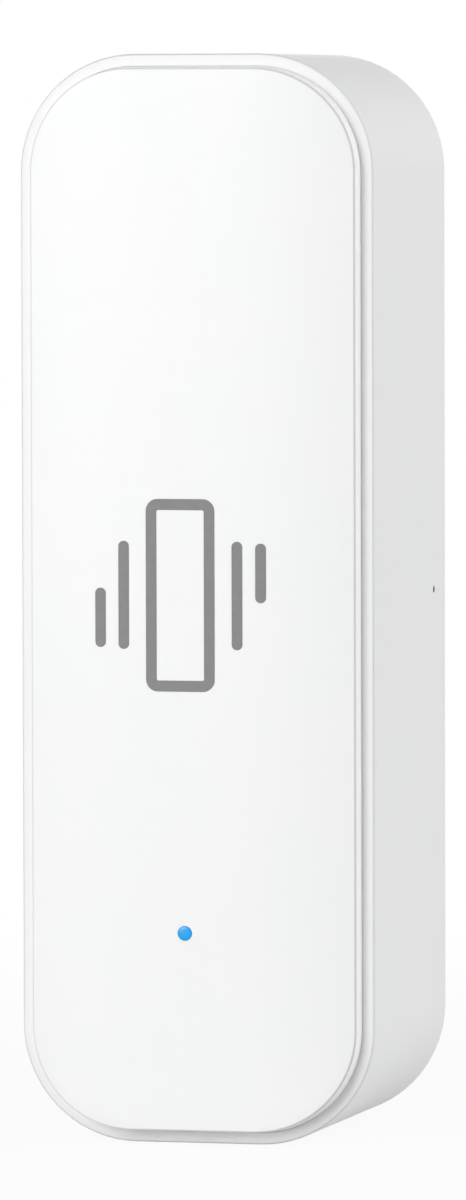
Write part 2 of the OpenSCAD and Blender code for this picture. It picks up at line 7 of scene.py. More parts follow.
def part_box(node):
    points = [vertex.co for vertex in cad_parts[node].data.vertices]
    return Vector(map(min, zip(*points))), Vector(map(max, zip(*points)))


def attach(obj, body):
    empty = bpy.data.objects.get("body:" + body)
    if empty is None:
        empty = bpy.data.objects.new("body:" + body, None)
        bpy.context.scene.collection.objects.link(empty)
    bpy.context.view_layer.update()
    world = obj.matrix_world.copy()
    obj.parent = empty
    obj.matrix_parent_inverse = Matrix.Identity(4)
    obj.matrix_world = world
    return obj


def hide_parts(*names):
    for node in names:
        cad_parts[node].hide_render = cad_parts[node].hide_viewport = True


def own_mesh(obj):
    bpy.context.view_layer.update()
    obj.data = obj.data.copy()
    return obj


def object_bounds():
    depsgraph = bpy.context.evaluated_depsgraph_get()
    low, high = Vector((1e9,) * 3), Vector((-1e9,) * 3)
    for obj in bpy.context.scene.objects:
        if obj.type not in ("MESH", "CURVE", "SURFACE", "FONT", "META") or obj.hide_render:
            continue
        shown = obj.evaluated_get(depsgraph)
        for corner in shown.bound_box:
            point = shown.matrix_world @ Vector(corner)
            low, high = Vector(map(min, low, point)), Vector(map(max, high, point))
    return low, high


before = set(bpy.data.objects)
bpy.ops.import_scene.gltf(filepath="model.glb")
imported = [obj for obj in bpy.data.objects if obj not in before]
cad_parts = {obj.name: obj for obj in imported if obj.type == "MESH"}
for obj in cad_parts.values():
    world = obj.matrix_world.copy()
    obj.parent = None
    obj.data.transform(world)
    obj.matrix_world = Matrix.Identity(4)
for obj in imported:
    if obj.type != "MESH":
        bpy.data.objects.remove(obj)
cad_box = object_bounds()

# Rear housing
# A white tub with 1.2 mm walls, moulded in one piece. It has a lip that falls a little outwards
# round the cover's seat, four screw bosses, four snap beads and a pinhole in its right wall.
MM = 0.001
housing_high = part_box("rear_housing")[1]
HALF_W = housing_high.x / MM
HALF_H = housing_high.z / MM
BACK_Y = housing_high.y / MM
CORNER_R = 7.75
WALL, BACK_WALL = 1.2, 1.4
BACK_EDGE_R, FLOOR_R = 0.4, 0.3
RIM_Z, RIM_LIP, RIM_FALL = 20.8, 0.8, 0.1
RIM_EDGE_R, RIM_EDGE_END = 0.14, 98
LIP_EDGE_R = 0.012
SEAT_Z = 19.3
BOARD_Z = 4.5
BOSS_R, BORE_R = 2.1, 0.83
BOSS_FLARE, BOSS_FLARE_H = 0.3, 0.4
SCREW_END_Z = 2.1
TRAY_SCREWS = ((0, -9.8837), (0, 22.3363))
BOARD_SCREWS = ((-8, -21.6837), (8, -21.6837))
SNAP_PLACES = ((1, -18), (1, 18), (-1, -18), (-1, 18))
SNAP_L, SNAP_H = 6, 0.5
BEAD_Z, BEAD_OUT = 18.4, 0.1
PINHOLE_Z, PINHOLE_R, PINHOLE_RIM = 3.6, 0.21, 0.04
SUNK = 0.2
WHITE = (0.81, 0.81, 0.81, 1)
COOL_CAST = (0.988, 0.996, 1.0, 1)
HOUSING_ROUGH = 0.42
# Painted shade: how dark the painted line along the front edges and the painted inside of the pinhole are
# made.
EDGE_SHADE, PINHOLE_SHADE = 0.8, 0.2


class Wire:
    """A shader socket. Sums written on it become Math nodes in the same tree."""

    def __init__(self, tree, socket):
        self.tree = tree
        self.socket = socket

    def node(self, kind, settings, sockets, out=0):
        """Adds a node: first its settings, then the values or the links of its sockets."""
        made = self.tree.nodes.new(kind)
        for name, value in settings.items():
            setattr(made, name, value)
        for name, value in sockets.items():
            if isinstance(value, Wire):
                self.tree.links.new(value.socket, made.inputs[name])
            else:
                made.inputs[name].default_value = value
        return Wire(self.tree, made.outputs[out])

    def sum(self, operation, a, b):
        return self.node("ShaderNodeMath", {"operation": operation}, {0: a, 1: b})

    def __add__(self, other):
        return self.sum("ADD", self, other)

    def __radd__(self, other):
        return self.sum("ADD", other, self)

    def __sub__(self, other):
        return self.sum("SUBTRACT", self, other)

    def __rsub__(self, other):
        return self.sum("SUBTRACT", other, self)

    def __mul__(self, other):
        return self.sum("MULTIPLY", self, other)

    def __rmul__(self, other):
        return self.sum("MULTIPLY", other, self)

    def __truediv__(self, other):
        return self.sum("DIVIDE", self, other)

    def __rtruediv__(self, other):
        return self.sum("DIVIDE", other, self)

    def __abs__(self):
        return self.sum("ABSOLUTE", self, 0)

    def __lt__(self, other):
        return self.sum("LESS_THAN", self, other)

    def __gt__(self, other):
        return self.sum("GREATER_THAN", self, other)

    def most(self, other):
        return self.sum("MAXIMUM", self, other)

    def least(self, other):
        return self.sum("MINIMUM", self, other)

    def reach(self, other):
        """The distance that two offsets at right angles make together."""
        return self.sum("POWER", self * self + other * other, 0.5)

    def rise(self, start, end):
        """Goes from 0 to 1 as this value goes from start to end."""
        sockets = {"Value": self, "From Min": start, "From Max": end}
        return self.node("ShaderNodeMapRange", {"interpolation_type": "SMOOTHSTEP"}, sockets)

    def tint(self, a, b):
        """Colour a where this value is 0, and b where it is 1."""
        return self.node("ShaderNodeMix", {"data_type": "RGBA"}, {0: self, 6: a, 7: b}, 2)

    def grain(self, scale, detail=2.0, rough=0.5):
        """Noise whose lumps are about 1/scale millimetres wide."""
        sockets = {"Vector": self, "Scale": scale, "Detail": detail, "Roughness": rough}
        return self.node("ShaderNodeTexNoise", {"noise_dimensions": "3D"}, sockets)

    def bump(self, depth):
        """A bump whose full height is that many millimetres."""
        sockets = {"Height": self, "Distance": depth * MM, "Strength": 1.0}
        return self.node("ShaderNodeBump", {}, sockets)


def new_finish(name, steady):
    """A material with its shader's even values set, and the place on the piece in millimetres."""
    finish = bpy.data.materials.new(name)
    finish.use_nodes = True
    tree = finish.node_tree
    shader = tree.nodes["Principled BSDF"]
    for socket, value in steady.items():
        shader.inputs[socket].default_value = value
    coordinates = Wire(tree, tree.nodes.new("ShaderNodeTexCoord").outputs["Object"])
    scale = {0: coordinates, "Scale": 1 / MM}
    return finish, coordinates.node("ShaderNodeVectorMath", {"operation": "SCALE"}, scale)


def feed(finish, wires):
    """Links wires to the sockets of a material's shader."""
    tree = finish.node_tree
    shader = tree.nodes["Principled BSDF"]
    for socket, wire in wires.items():
        tree.links.new(wire.socket, shader.inputs[socket])


def spots(place):
    """Where a point lies: to the right, upwards, and forwards of the housing's back."""
    split = place.node("ShaderNodeSeparateXYZ", {}, {0: place})
    x, y, z = (Wire(place.tree, socket) for socket in split.socket.node.outputs)
    return x, z, BACK_Y - y


def shade(tone, share):
    """A colour made darker or lighter."""
    return tuple(c * share for c in tone[:3]) + (1,)


def at(x, y, z):
    """A point in metres, from millimetres to the right, upwards and forwards of the housing's back."""
    return Vector((x, BACK_Y - z, y)) * MM


def rounded_pairs(w, h, r, steps):
    """A rectangle with round corners about its middle, as pairs of numbers."""
    pairs = []
    for corner, (sx, sy) in enumerate(((1, 1), (-1, 1), (-1, -1), (1, -1))):
        for i in range(steps + 1):
            a = math.radians(90 * (corner + i / steps))
            pairs.append((sx * (w - r) + r * math.cos(a), sy * (h - r) + r * math.sin(a)))
    return pairs


def rounded_ring(w, h, r, z, steps=18, middle=(0, 0)):
    """A rectangle with round corners as a ring of points at one depth."""
    return [at(middle[0] + x, middle[1] + y, z) for x, y in rounded_pairs(w, h, r, steps)]


def case_ring(inset, z):
    """The outline of the case, stepped inwards."""
    return rounded_ring(HALF_W - inset, HALF_H - inset, CORNER_R - inset, z)


def rounding(inset, z, r, start, end, steps=5):
    """A rounded edge as (inset, depth) pairs about a centre."""
    turns = [math.radians(start + (end - start) * i / steps) for i in range(steps + 1)]
    return [(inset + r * math.cos(a), z + r * math.sin(a)) for a in turns]


def turned_rings(profile, foot, axis, steps=40):
    """Rings of a turned shape, from (radius, distance) pairs along an axis from its foot."""
    across = {"x": ((0, 1, 0), (0, 0, 1)), "y": ((0, 0, 1), (1, 0, 0)), "z": ((1, 0, 0), (0, 1, 0))}
    u, v = (Vector(d) for d in across[axis[-1]])
    along = u.cross(v) * (-1 if axis[0] == "-" else 1)
    turns = [2 * math.pi * i / steps for i in range(steps)]
    rings = []
    for r, d in profile:
        ring = [Vector(foot) + along * d + u * r * math.cos(a) + v * r * math.sin(a) for a in turns]
        rings.append([at(*p) for p in ring])
    return rings


def skin(rings, capped=True, mesh=None):
    """A closed skin over rings of points that have as many points each."""
    mesh = mesh or bmesh.new()
    rows = [[mesh.verts.new(p) for p in ring] for ring in rings]
    if not capped:
        rows.append(rows[0])
    for a, b in zip(rows, rows[1:]):
        for i, corner in enumerate(a):
            j = (i + 1) % len(a)
            mesh.faces.new((corner, a[j], b[j], b[i]))
    if capped:
        mesh.faces.new(rows[0])
        mesh.faces.new(rows[-1])
    return mesh


def block(x, y, z, w, h, t):
    """Rings of a square block that starts at a corner."""
    corners = ((x, y), (x + w, y), (x + w, y + h), (x, y + h))
    return [[at(a, b, d) for a, b in corners] for d in (z, z + t)]


def snap_bars(start, end, z):
    """A short bar at each snap place, from one distance off the middle to another."""
    bars = []
    for side, y in SNAP_PLACES:
        x = start if side > 0 else -end
        bars.append(block(x, y - SNAP_L / 2, z, end - start, SNAP_L, SNAP_H))
    return bars


def solid(mesh, name="tool"):
    """An object for a mesh whose faces look outwards."""
    bmesh.ops.recalc_face_normals(mesh, faces=mesh.faces)
    data = bpy.data.meshes.new(name)
    mesh.to_mesh(data)
    mesh.free()
    made = bpy.data.objects.new(name, data)
    bpy.context.scene.collection.objects.link(made)
    return made


def worked(mesh, tools, operation):
    """A mesh after closed tools are joined to it or cut out of it."""
    body = solid(mesh)
    cutters = [solid(skin(rings)) for rings in tools]
    for cutter in cutters:
        step = body.modifiers.new("work", "BOOLEAN")
        step.operation = operation
        step.solver = "EXACT"
        step.object = cutter
    bpy.context.view_layer.update()
    result = bmesh.new()
    result.from_object(body, bpy.context.evaluated_depsgraph_get())
    for used in [body, *cutters]:
        bpy.data.objects.remove(used)
    return result


def piece(name, mesh, body, finish, sharp=32):
    """A visible piece that rides on a body, smooth except at its sharp edges."""
    made = solid(mesh, name)
    made.data.shade_smooth()
    made.data.set_sharp_from_angle(angle=math.radians(sharp))
    made.data.materials.append(finish)
    flats = made.modifiers.new("flats", "WEIGHTED_NORMAL")
    flats.keep_sharp = True
    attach(made, body)
    return made


def edge_inset(x, y):
    """How far inside the outline of the case a point lies."""
    across = abs(x) - (HALF_W - CORNER_R)
    up = abs(y) - (HALF_H - CORNER_R)
    outer = across.most(0).reach(up.most(0))
    inner = across.most(up).least(0)
    return CORNER_R - outer - inner


def moulded_white(name, tone, shades, rough):
    """White moulded plastic: a fine even mould texture, and painted light and shade where the given masks
    lie.
    """
    finish, place = new_finish(name, {"IOR": 1.46})
    cool = tuple(c * f for c, f in zip(tone, COOL_CAST))
    colour = place.grain(0.12, 3.0).rise(0.3, 0.7).tint(tone, cool)
    for mask, share in shades(*spots(place)):
        colour = mask.tint(colour, shade(tone, share))
    texture = place.grain(9.0)
    feed(finish, {
        "Base Color": colour,
        "Roughness": rough + 0.06 * place.grain(0.7, 3.0) + 0.04 * texture,
        "Normal": texture.bump(0.004),
    })
    return finish


def housing_shades(x, y, z):
    """A thin painted shade line along the edge where the side meets the lip, and painted shade inside the
    pinhole.
    """
    edge_z = RIM_Z - RIM_FALL
    line = edge_inset(x, y).rise(RIM_EDGE_R + 0.02, RIM_EDGE_R * 0.4)
    line = line * z.rise(edge_z - RIM_EDGE_R - 0.05, edge_z - 0.02)
    dark_painted_hole = (z - PINHOLE_Z).reach(y).rise(PINHOLE_R + 0.04, PINHOLE_R + 0.01)
    dark_painted_hole = dark_painted_hole * x.rise(HALF_W - WALL - 0.2, HALF_W - WALL)
    return (line, EDGE_SHADE), (dark_painted_hole, PINHOLE_SHADE)


housing_profile = (
    rounding(BACK_EDGE_R, BACK_EDGE_R, BACK_EDGE_R, 270, 180)
    + rounding(RIM_EDGE_R, RIM_Z - RIM_FALL - RIM_EDGE_R, RIM_EDGE_R, 180, RIM_EDGE_END)
    + rounding(RIM_LIP - LIP_EDGE_R, RIM_Z - LIP_EDGE_R, LIP_EDGE_R, 90, 0)
    + [(RIM_LIP, SEAT_Z), (WALL, SEAT_Z)]
    + rounding(WALL + FLOOR_R, BACK_WALL + FLOOR_R, FLOOR_R, 180, 270)
)
boss_profile = (
    (BOSS_R + BOSS_FLARE, -SUNK), (BOSS_R + BOSS_FLARE, 0.02),
    (BOSS_R, BOSS_FLARE_H), (BOSS_R, BOARD_Z - BACK_WALL),
)
bore_profile = ((BORE_R, -SUNK), (BORE_R, BOARD_Z - SCREW_END_Z + 1))
pinhole_profile = (
    (PINHOLE_R, -2), (PINHOLE_R, -PINHOLE_RIM),
    (PINHOLE_R + PINHOLE_RIM, 0.01), (PINHOLE_R + PINHOLE_RIM, 1),
)
housing_mesh = worked(
    skin([case_ring(inset, z) for inset, z in housing_profile]),
    [turned_rings(boss_profile, (x, y, BACK_WALL), "z") for x, y in TRAY_SCREWS + BOARD_SCREWS]
    + snap_bars(HALF_W - WALL - BEAD_OUT, HALF_W - WALL + SUNK, BEAD_Z),
    "UNION",
)
housing_mesh = worked(
    housing_mesh,
    [turned_rings(bore_profile, (x, y, SCREW_END_Z), "z") for x, y in TRAY_SCREWS + BOARD_SCREWS]
    + [turned_rings(pinhole_profile, (HALF_W, 0, PINHOLE_Z), "x", steps=24)],
    "DIFFERENCE",
)
housing_white = moulded_white("housing_white", WHITE, housing_shades, HOUSING_ROUGH)
housing = piece("housing", housing_mesh, "housing", housing_white)
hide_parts("rear_housing")

# Adhesive pad
# A die-cut pad of white foam with a sticky film on both faces, which holds the tag to a door, a
# window or a machine. It is pressed on the housing's flat back, and its cut edge draws in a little.
PAD_T, PAD_INSET = 0.8, 2.0
PAD_WAIST, PAD_EDGE_R = 0.09, 0.06
PAD_STEPS = 10
FOAM = (0.76, 0.76, 0.74, 1)
# Painted shade in the foam's pores.
FOAM_PIT_SHADE = (0.5, 0.5, 0.48, 1)
FILM = (0.7, 0.69, 0.65, 1)


def pores(place, scale):
    """How far a point lies from the middle of the nearest of many small cells."""
    sockets = {"Vector": place, "Scale": scale}
    return place.node("ShaderNodeTexVoronoi", {"feature": "F1"}, sockets, "Distance")


def bands(place, way, scale, waver):
    """Even bands that waver a little."""
    sockets = {"Vector": place, "Scale": scale, "Distortion": waver}
    return place.node("ShaderNodeTexWave", {"bands_direction": way}, sockets)


pad_profile = []
for i in range(PAD_STEPS + 1):
    t = i / PAD_STEPS
    pad_profile.append((PAD_INSET + PAD_WAIST * math.sin(math.pi * t), -t * (PAD_T - PAD_EDGE_R / 2)))
pad_profile.append((PAD_INSET + PAD_EDGE_R, -PAD_T))
foam, place = new_finish("foam", {"IOR": 1.4})
x, y, z = spots(place)
# Painted shade: the pores of the cut foam are painted darker where the bump sinks them.
pit = pores(place, 4.5).rise(0.42, 0.12)
film = z.rise(-PAD_T + 0.03, -PAD_T + 0.008)
scrim = bands(place, "DIAGONAL", 1.6, 0.6)
feed(foam, {
    "Base Color": film.tint(pit.tint(FOAM, FOAM_PIT_SHADE), (pit * 0.35 + scrim * 0.3).tint(FILM, FOAM)),
    "Roughness": 0.9 - 0.5 * film + 0.1 * scrim,
    "Normal": ((1 - pit) * (1 - 0.7 * film) + scrim * film * 0.15).bump(0.03),
})
pad_mesh = skin([case_ring(inset, z) for inset, z in pad_profile])
pad = piece("pad", pad_mesh, "housing", foam, sharp=50)
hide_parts("adhesive_pad")

# Circuit board
# A green glass-fibre board 1 mm thick, with copper tracks under its solder mask and tinned holes
# from face to face. It lies on the housing's bosses, and its cut edge shows the bare laminate.
BOARD_FACE_Z = 5.5
TRACK_LANE, TRACK_RUN, TRACK_W = 0.7, 4.5, 0.17
TRACK_STAGGER, TRACK_SHARE = 0.37, 0.42
VIA_PITCH, VIA_R, VIA_HOLE_R, VIA_SHARE = 1.9, 0.3, 0.15, 0.3
JOIN_GAP, FLAT_ANGLE, EDGE_ANGLE = 0.002, 1, 40
MASK_GREEN = (0.010, 0.10, 0.040, 1)
TRACK_GREEN = (0.030, 0.19, 0.080, 1)
LAMINATE = (0.46, 0.36, 0.17, 1)
LAMINATE_FIBRE = (0.62, 0.54, 0.33, 1)
TIN = (0.66, 0.66, 0.64, 1)
# Painted shade inside the via holes.
VIA_HOLE_SHADE = (0.02, 0.02, 0.02, 1)


def dress(node, finish, edge_r):
    """Gives a solid of the frame its finish, and breaks its sharp edges."""
    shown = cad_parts[node]
    for slot in shown.material_slots:
        slot.material = finish
    joined = shown.modifiers.new("joined", "WELD")
    joined.merge_threshold = JOIN_GAP * MM
    plain = shown.modifiers.new("plain", "DECIMATE")
    plain.decimate_type = "DISSOLVE"
    plain.angle_limit = math.radians(FLAT_ANGLE)
    edges = shown.modifiers.new("edges", "BEVEL")
    edges.width = edge_r * MM
    edges.segments = 2
    edges.limit_method = "ANGLE"
    edges.angle_limit = math.radians(EDGE_ANGLE)
    shown.modifiers.new("flats", "WEIGHTED_NORMAL")


def picked(a, b, share):
    """1 on a share of the squares that two whole numbers name, 0 on the others."""
    square = a.node("ShaderNodeCombineXYZ", {}, {0: a, 1: b})
    chance = a.node("ShaderNodeTexWhiteNoise", {"noise_dimensions": "2D"}, {"Vector": square}, "Value")
    return chance < share


def whole(wire):
    return wire.sum("FLOOR", wire, 0)


def tracks(across, along):
    """Straight tracks that lie in lanes and stop at some of the ends of their runs."""
    lane = across / TRACK_LANE
    row = whole(lane)
    run = whole(along / TRACK_RUN + row * TRACK_STAGGER)
    line = abs(lane - row - 0.5) < TRACK_W
    return line * picked(row, run, TRACK_SHARE)


solder_mask, place = new_finish("solder_mask", {"IOR": 1.5, "Coat Roughness": 0.12})
x, y, z = spots(place)
face = abs(z - (BOARD_Z + BOARD_FACE_Z) / 2).rise(0.488, 0.496)
track = tracks(x, y).most(tracks(y, x))
column, row = x / VIA_PITCH, y / VIA_PITCH
reach = VIA_PITCH * (column - whole(column) - 0.5).reach(row - whole(row) - 0.5)
chosen = picked(whole(column), whole(row), VIA_SHARE) * face
ring = (reach < VIA_R) * chosen
# Painted shade: the via holes are not cut, and each hole is painted near black for the shade inside it.
dark_painted_hole = (reach < VIA_HOLE_R) * chosen
mask = (track * (0.8 + 0.2 * place.grain(1.4))).tint(MASK_GREEN, TRACK_GREEN)
bare = bands(place, "Y", 3.2, 1.5).tint(LAMINATE, LAMINATE_FIBRE)
feed(solder_mask, {
    "Base Color": dark_painted_hole.tint(ring.tint(face.tint(bare, mask), TIN), VIA_HOLE_SHADE),
    "Metallic": ring - dark_painted_hole,
    "Roughness": 0.75 - 0.42 * face + 0.08 * place.grain(3.0),
    "Coat Weight": 0.5 * face * (1 - ring),
    "Normal": (track * 0.6 + ring - dark_painted_hole + 0.1 * place.grain(12.0)).bump(0.03),
})
dress("circuit_board", solder_mask, edge_r=0.04)

# Radio
# The radio chip is a flat black package soldered under a folded nickel-plated shield with round
# vents. The chip antenna is fired ceramic, and the crystal has a metal lid on a ceramic base.
SHIELD_T, SHIELD_EDGE_R, SHIELD_CORNER_R = 0.2, 0.18, 0.35
VENT_R, VENT_CUT = 0.42, 0.5
VENT_PLACES = [(x, y) for x in (-2.4, 0, 2.4) for y in (-1.5, 1.5)]
CUT_W, CUT_L, CUT_H, CUT_SUNK = 0.7, 0.9, 0.55, 0.3
CUT_PLACES = [(side, step) for side in (-1, 1) for step in (-2.2, 0, 2.2)]
SHIELD_NICKEL = (0.60, 0.59, 0.57, 1)
EPOXY_BLACK = (0.018, 0.018, 0.020, 1)
CERAMIC_WHITE = (0.74, 0.71, 0.64, 1)
CERAMIC_BROWN = (0.11, 0.075, 0.05, 1)
TERMINAL_L = 0.5
LID_INSET, LID_EDGE_R, LID_SEAM = 0.16, 0.08, 0.05
BASE_EDGE = 0.04


def seat(node):
    """A solid's middle across and up the case, its back, its half width and length, and its height."""
    low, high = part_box(node)
    middle = (low + high) / (2 * MM)
    size = (high - low) / MM
    return middle.x, middle.z, BACK_Y - high.y / MM, size.x / 2, size.z / 2, size.y


def stacked(x, y, z, half_w, half_h, steps, mesh=None):
    """A body that stands on a face, from steps of height, inset (or insets each way) and corner radius."""
    rings = []
    for up, *less, r in steps:
        rings.append(rounded_ring(half_w - less[0], half_h - less[-1], r, z + up, 4, (x, y)))
    return skin(rings, mesh=mesh)


def drawn(place, ways):
    """Places squeezed along some ways, so that a grain read from them is drawn out there."""
    return place.node("ShaderNodeVectorMath", {"operation": "MULTIPLY"}, {0: place, 1: ways})


def plated(name, tone, rough, rolled=(1, 1, 1)):
    """Plated sheet or wire: faint stains, and fine marks drawn out along the rolling."""
    finish, place = new_finish(name, {"Metallic": 1.0})
    stain = place.grain(0.8, 3.0)
    marks = drawn(place, rolled).grain(7.0, 3.0)
    feed(finish, {
        "Base Color": stain.rise(0.35, 0.7).tint(tone, shade(tone, 0.84)),
        "Roughness": rough + 0.16 * marks,
        "Normal": marks.bump(0.004),
    })
    return finish


def moulded_dark(name, tone, rough=0.42, texture=8.0):
    """Resin or plastic from a mould with a fine spark-eroded texture."""
    finish, place = new_finish(name, {"IOR": 1.5})
    fine = place.grain(texture, 3.0, 0.6)
    cloud = place.grain(0.4, 3.0)
    feed(finish, {
        "Base Color": cloud.rise(0.3, 0.7).tint(tone, shade(tone, 1.35)),
        "Roughness": rough + 0.14 * fine + 0.08 * cloud,
        "Normal": fine.bump(0.008),
    })
    return finish


def part_metal(finish, metal, body, tone, rough, smoother, fine, depth, texture=0.12):
    """Feeds a finish that is smooth metal where a mask is 1, and shows the body elsewhere."""
    feed(finish, {
        "Base Color": metal.tint(body, tone),
        "Metallic": metal,
        "Roughness": rough - smoother * metal + texture * fine,
        "Normal": fine.bump(depth),
    })


def tipped(name, tone, offset, start, rough):
    """Fired ceramic whose ends are dipped in tin, from a distance either side of a middle."""
    finish, place = new_finish(name, {"IOR": 1.6})
    x, y, z = spots(place)
    end = offset(x, y).rise(start - 0.015, start + 0.015)
    fine = place.grain(9.0, 3.0)
    part_metal(finish, end, fine.tint(tone, shade(tone, 0.85)), TIN, rough, 0.1, fine, 0.005)
    return finish


epoxy = moulded_dark("epoxy", EPOXY_BLACK)
dress("radio_chip", epoxy, edge_r=0.06)
x, y, z, half_w, half_h, high = seat("radio_shield")
inner_r = SHIELD_CORNER_R - SHIELD_T
shield_steps = [(high - SHIELD_T, SHIELD_T, inner_r), (0, SHIELD_T, inner_r), (0, 0, SHIELD_CORNER_R)]
for less, up in rounding(SHIELD_EDGE_R, high - SHIELD_EDGE_R, SHIELD_EDGE_R, 180, 90, 4):
    shield_steps.append((up, less, SHIELD_CORNER_R - less))
shield_mesh = stacked(x, y, z, half_w, half_h, shield_steps)
vent_profile = ((VENT_R, -VENT_CUT), (VENT_R, VENT_CUT))
vents = [turned_rings(vent_profile, (x + a, y + b, z + high - SHIELD_T), "z", 28) for a, b in VENT_PLACES]
foot_cuts = []
for side, step in CUT_PLACES:
    cut_x, cut_y = x + side * half_w - CUT_W / 2, y + step - CUT_L / 2
    foot_cuts.append(block(cut_x, cut_y, z - CUT_SUNK, CUT_W, CUT_L, CUT_H))
shield_mesh = worked(shield_mesh, vents + foot_cuts, "DIFFERENCE")
shield_nickel = plated("shield_nickel", SHIELD_NICKEL, 0.24, rolled=(1, 1, 0.12))
shield = piece("shield", shield_mesh, "housing", shield_nickel)
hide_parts("radio_shield")

x, antenna_y, z, half_w, half_h, high = seat("chip_antenna")
antenna_ceramic = tipped(
    "antenna_ceramic", CERAMIC_WHITE, lambda x, y: abs(y - antenna_y), half_h - TERMINAL_L, 0.4)
dress("chip_antenna", antenna_ceramic, edge_r=0.08)

x, y, z, half_w, half_h, high = seat("quartz_crystal")
crystal_mesh = stacked(x, y, z, half_w, half_h, (
    (0, BASE_EDGE, 0.2), (BASE_EDGE, 0, 0.22), (high * 0.55, 0, 0.22), (high * 0.6, BASE_EDGE, 0.2),
    (high * 0.6, LID_INSET - LID_SEAM, 0.25), (high * 0.68, LID_INSET - LID_SEAM, 0.25),
    (high * 0.7, LID_INSET, 0.2), (high - LID_EDGE_R, LID_INSET, 0.2),
    (high - 0.02, LID_INSET + 0.03, 0.18), (high, LID_INSET + LID_EDGE_R, 0.15),
))
lidded, place = new_finish("lidded", {"IOR": 1.6})
lid = spots(place)[2].rise(z + high * 0.58, z + high * 0.62)
brushed = drawn(place, (0.1, 1, 1)).grain(8.0, 3.0)
part_metal(lidded, lid, CERAMIC_BROWN, SHIELD_NICKEL, 0.55, 0.3, brushed, 0.004, texture=0.15)
crystal = piece("crystal", crystal_mesh, "housing", lidded)
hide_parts("quartz_crystal")

# Power supply
# The coil is copper wire wound on a ferrite drum between two flanges. The storage capacitor is
# moulded in yellow resin round bent tin strips, and the regulator is a black package on five legs.
FLANGE_T = 0.38
LOWER_FLANGE = ((0, 0.06, 0.35), (0.06, 0, 0.4), (FLANGE_T - 0.05, 0, 0.4), (FLANGE_T, 0.06, 0.4))
UPPER_FLANGE = ((0, 0.06, 0.7), (0.05, 0, 0.75), (FLANGE_T - 0.07, 0, 0.75), (FLANGE_T, 0.08, 0.7))
COIL_WIRE, COIL_R, COIL_LAP = 0.15, 1.22, 0.02
COIL_WIRE_STEPS = 6
FERRITE = (0.045, 0.043, 0.042, 1)
COPPER = (0.62, 0.26, 0.12, 1)
RESIN_YELLOW = (0.62, 0.36, 0.04, 1)
RESIN_BAR = (0.20, 0.07, 0.02, 1)
BAR_W, BAR_EDGE = 0.7, 0.3
STRIP_T, STRIP_HALF_W = 0.12, 0.95
LEG_HALF_W, LEG_T, LEG_OUT = 0.17, 0.11, 0.3
LEG_ROWS = ((-1, -0.95), (-1, 0), (-1, 0.95), (1, -0.95), (1, 0.95))


def ribbon(x, y, z, side, path, thick, half_w, mesh):
    """Adds a flat strip bent along a path of (outwards, forwards) points to one side of a foot."""
    path = [(x + side * out, z + up) for out, up in path]
    left, right = [], []
    for i, (a, c) in enumerate(path):
        before, after = path[max(i - 1, 0)], path[min(i + 1, len(path) - 1)]
        run = Vector((after[0] - before[0], after[1] - before[1])).normalized() * thick / 2
        left.append((a - run.y, c + run.x))
        right.append((a + run.y, c - run.x))
    outline = left + right[::-1]
    skin([[at(a, b, c) for a, c in outline] for b in (y - half_w, y + half_w)], mesh=mesh)


x, y, z, half_w, half_h, high = seat("boost_inductor")
coil_mesh = bmesh.new()
for foot, flange in ((0, LOWER_FLANGE), (high - FLANGE_T, UPPER_FLANGE)):
    stacked(x, y, z + foot, half_w, half_w, flange, coil_mesh)
wound_h = high - 2 * FLANGE_T
coil_steps = int(wound_h / COIL_WIRE) * COIL_WIRE_STEPS
coil_profile = []
for i in range(coil_steps + 1):
    swell = COIL_WIRE / 2 * abs(math.sin(math.pi * i / COIL_WIRE_STEPS))
    up = FLANGE_T - COIL_LAP + (wound_h + 2 * COIL_LAP) * i / coil_steps
    coil_profile.append((COIL_R - COIL_WIRE / 2 + swell, up))
skin(turned_rings(coil_profile, (x, y, z), "z", 48), mesh=coil_mesh)
wound_drum, place = new_finish("wound_drum", {"IOR": 1.5})
up = spots(place)[2] - z
wire = up.rise(FLANGE_T - 0.015, FLANGE_T + 0.005)
wire = wire * up.rise(high - FLANGE_T + 0.015, high - FLANGE_T - 0.005)
fine = place.grain(8.0, 3.0)
drum = fine.tint(FERRITE, shade(FERRITE, 1.8))
part_metal(wound_drum, wire, drum, COPPER, 0.6, 0.28, fine, 0.01, texture=0.15)
coil = piece("coil", coil_mesh, "housing", wound_drum)
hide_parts("boost_inductor")

x, y, z, half_w, half_h, high = seat("storage_capacitor")
body_w = half_w - STRIP_T
tank_mesh = stacked(x, y, z, body_w, half_h, (
    (0.12, 0.25, 0.2, 0.08), (0.16, 0.2, 0.15, 0.1), (high * 0.5, 0.02, 0, 0.1),
    (high - 0.1, 0.12, 0.1, 0.1), (high - 0.03, 0.15, 0.13, 0.09), (high, 0.22, 0.2, 0.08),
))
upright = half_w - STRIP_T / 2 - 0.02
strip_path = (
    (half_w - 0.9, STRIP_T / 2), (half_w - 0.2, STRIP_T / 2), (upright, STRIP_T / 2 + 0.1),
    (upright, high * 0.45), (half_w - 0.16, high * 0.5), (half_w - 0.4, high * 0.5),
)
for side in (-1, 1):
    ribbon(x, y, z, side, strip_path, STRIP_T, STRIP_HALF_W, tank_mesh)
tank_resin, place = new_finish("tank_resin", {"IOR": 1.52})
spot_x, spot_y, spot_z = spots(place)
off = spot_x - x
up = spot_z - z
strip = abs(off).rise(body_w - 0.03, body_w - 0.01).most(up.rise(0.13, 0.11))
bar_start, bar_end = body_w - BAR_W - BAR_EDGE, body_w - BAR_EDGE
bar = off.rise(bar_start, bar_start + 0.04) * up.rise(high * 0.55, high * 0.6)
bar = bar * off.rise(bar_end + 0.04, bar_end)
fine = place.grain(10.0, 3.0)
resin = bar.tint(fine.tint(RESIN_YELLOW, shade(RESIN_YELLOW, 0.85)), RESIN_BAR)
part_metal(tank_resin, strip, resin, TIN, 0.5, 0.2, fine, 0.008)
tank = piece("tank", tank_mesh, "housing", tank_resin)
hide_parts("storage_capacitor")

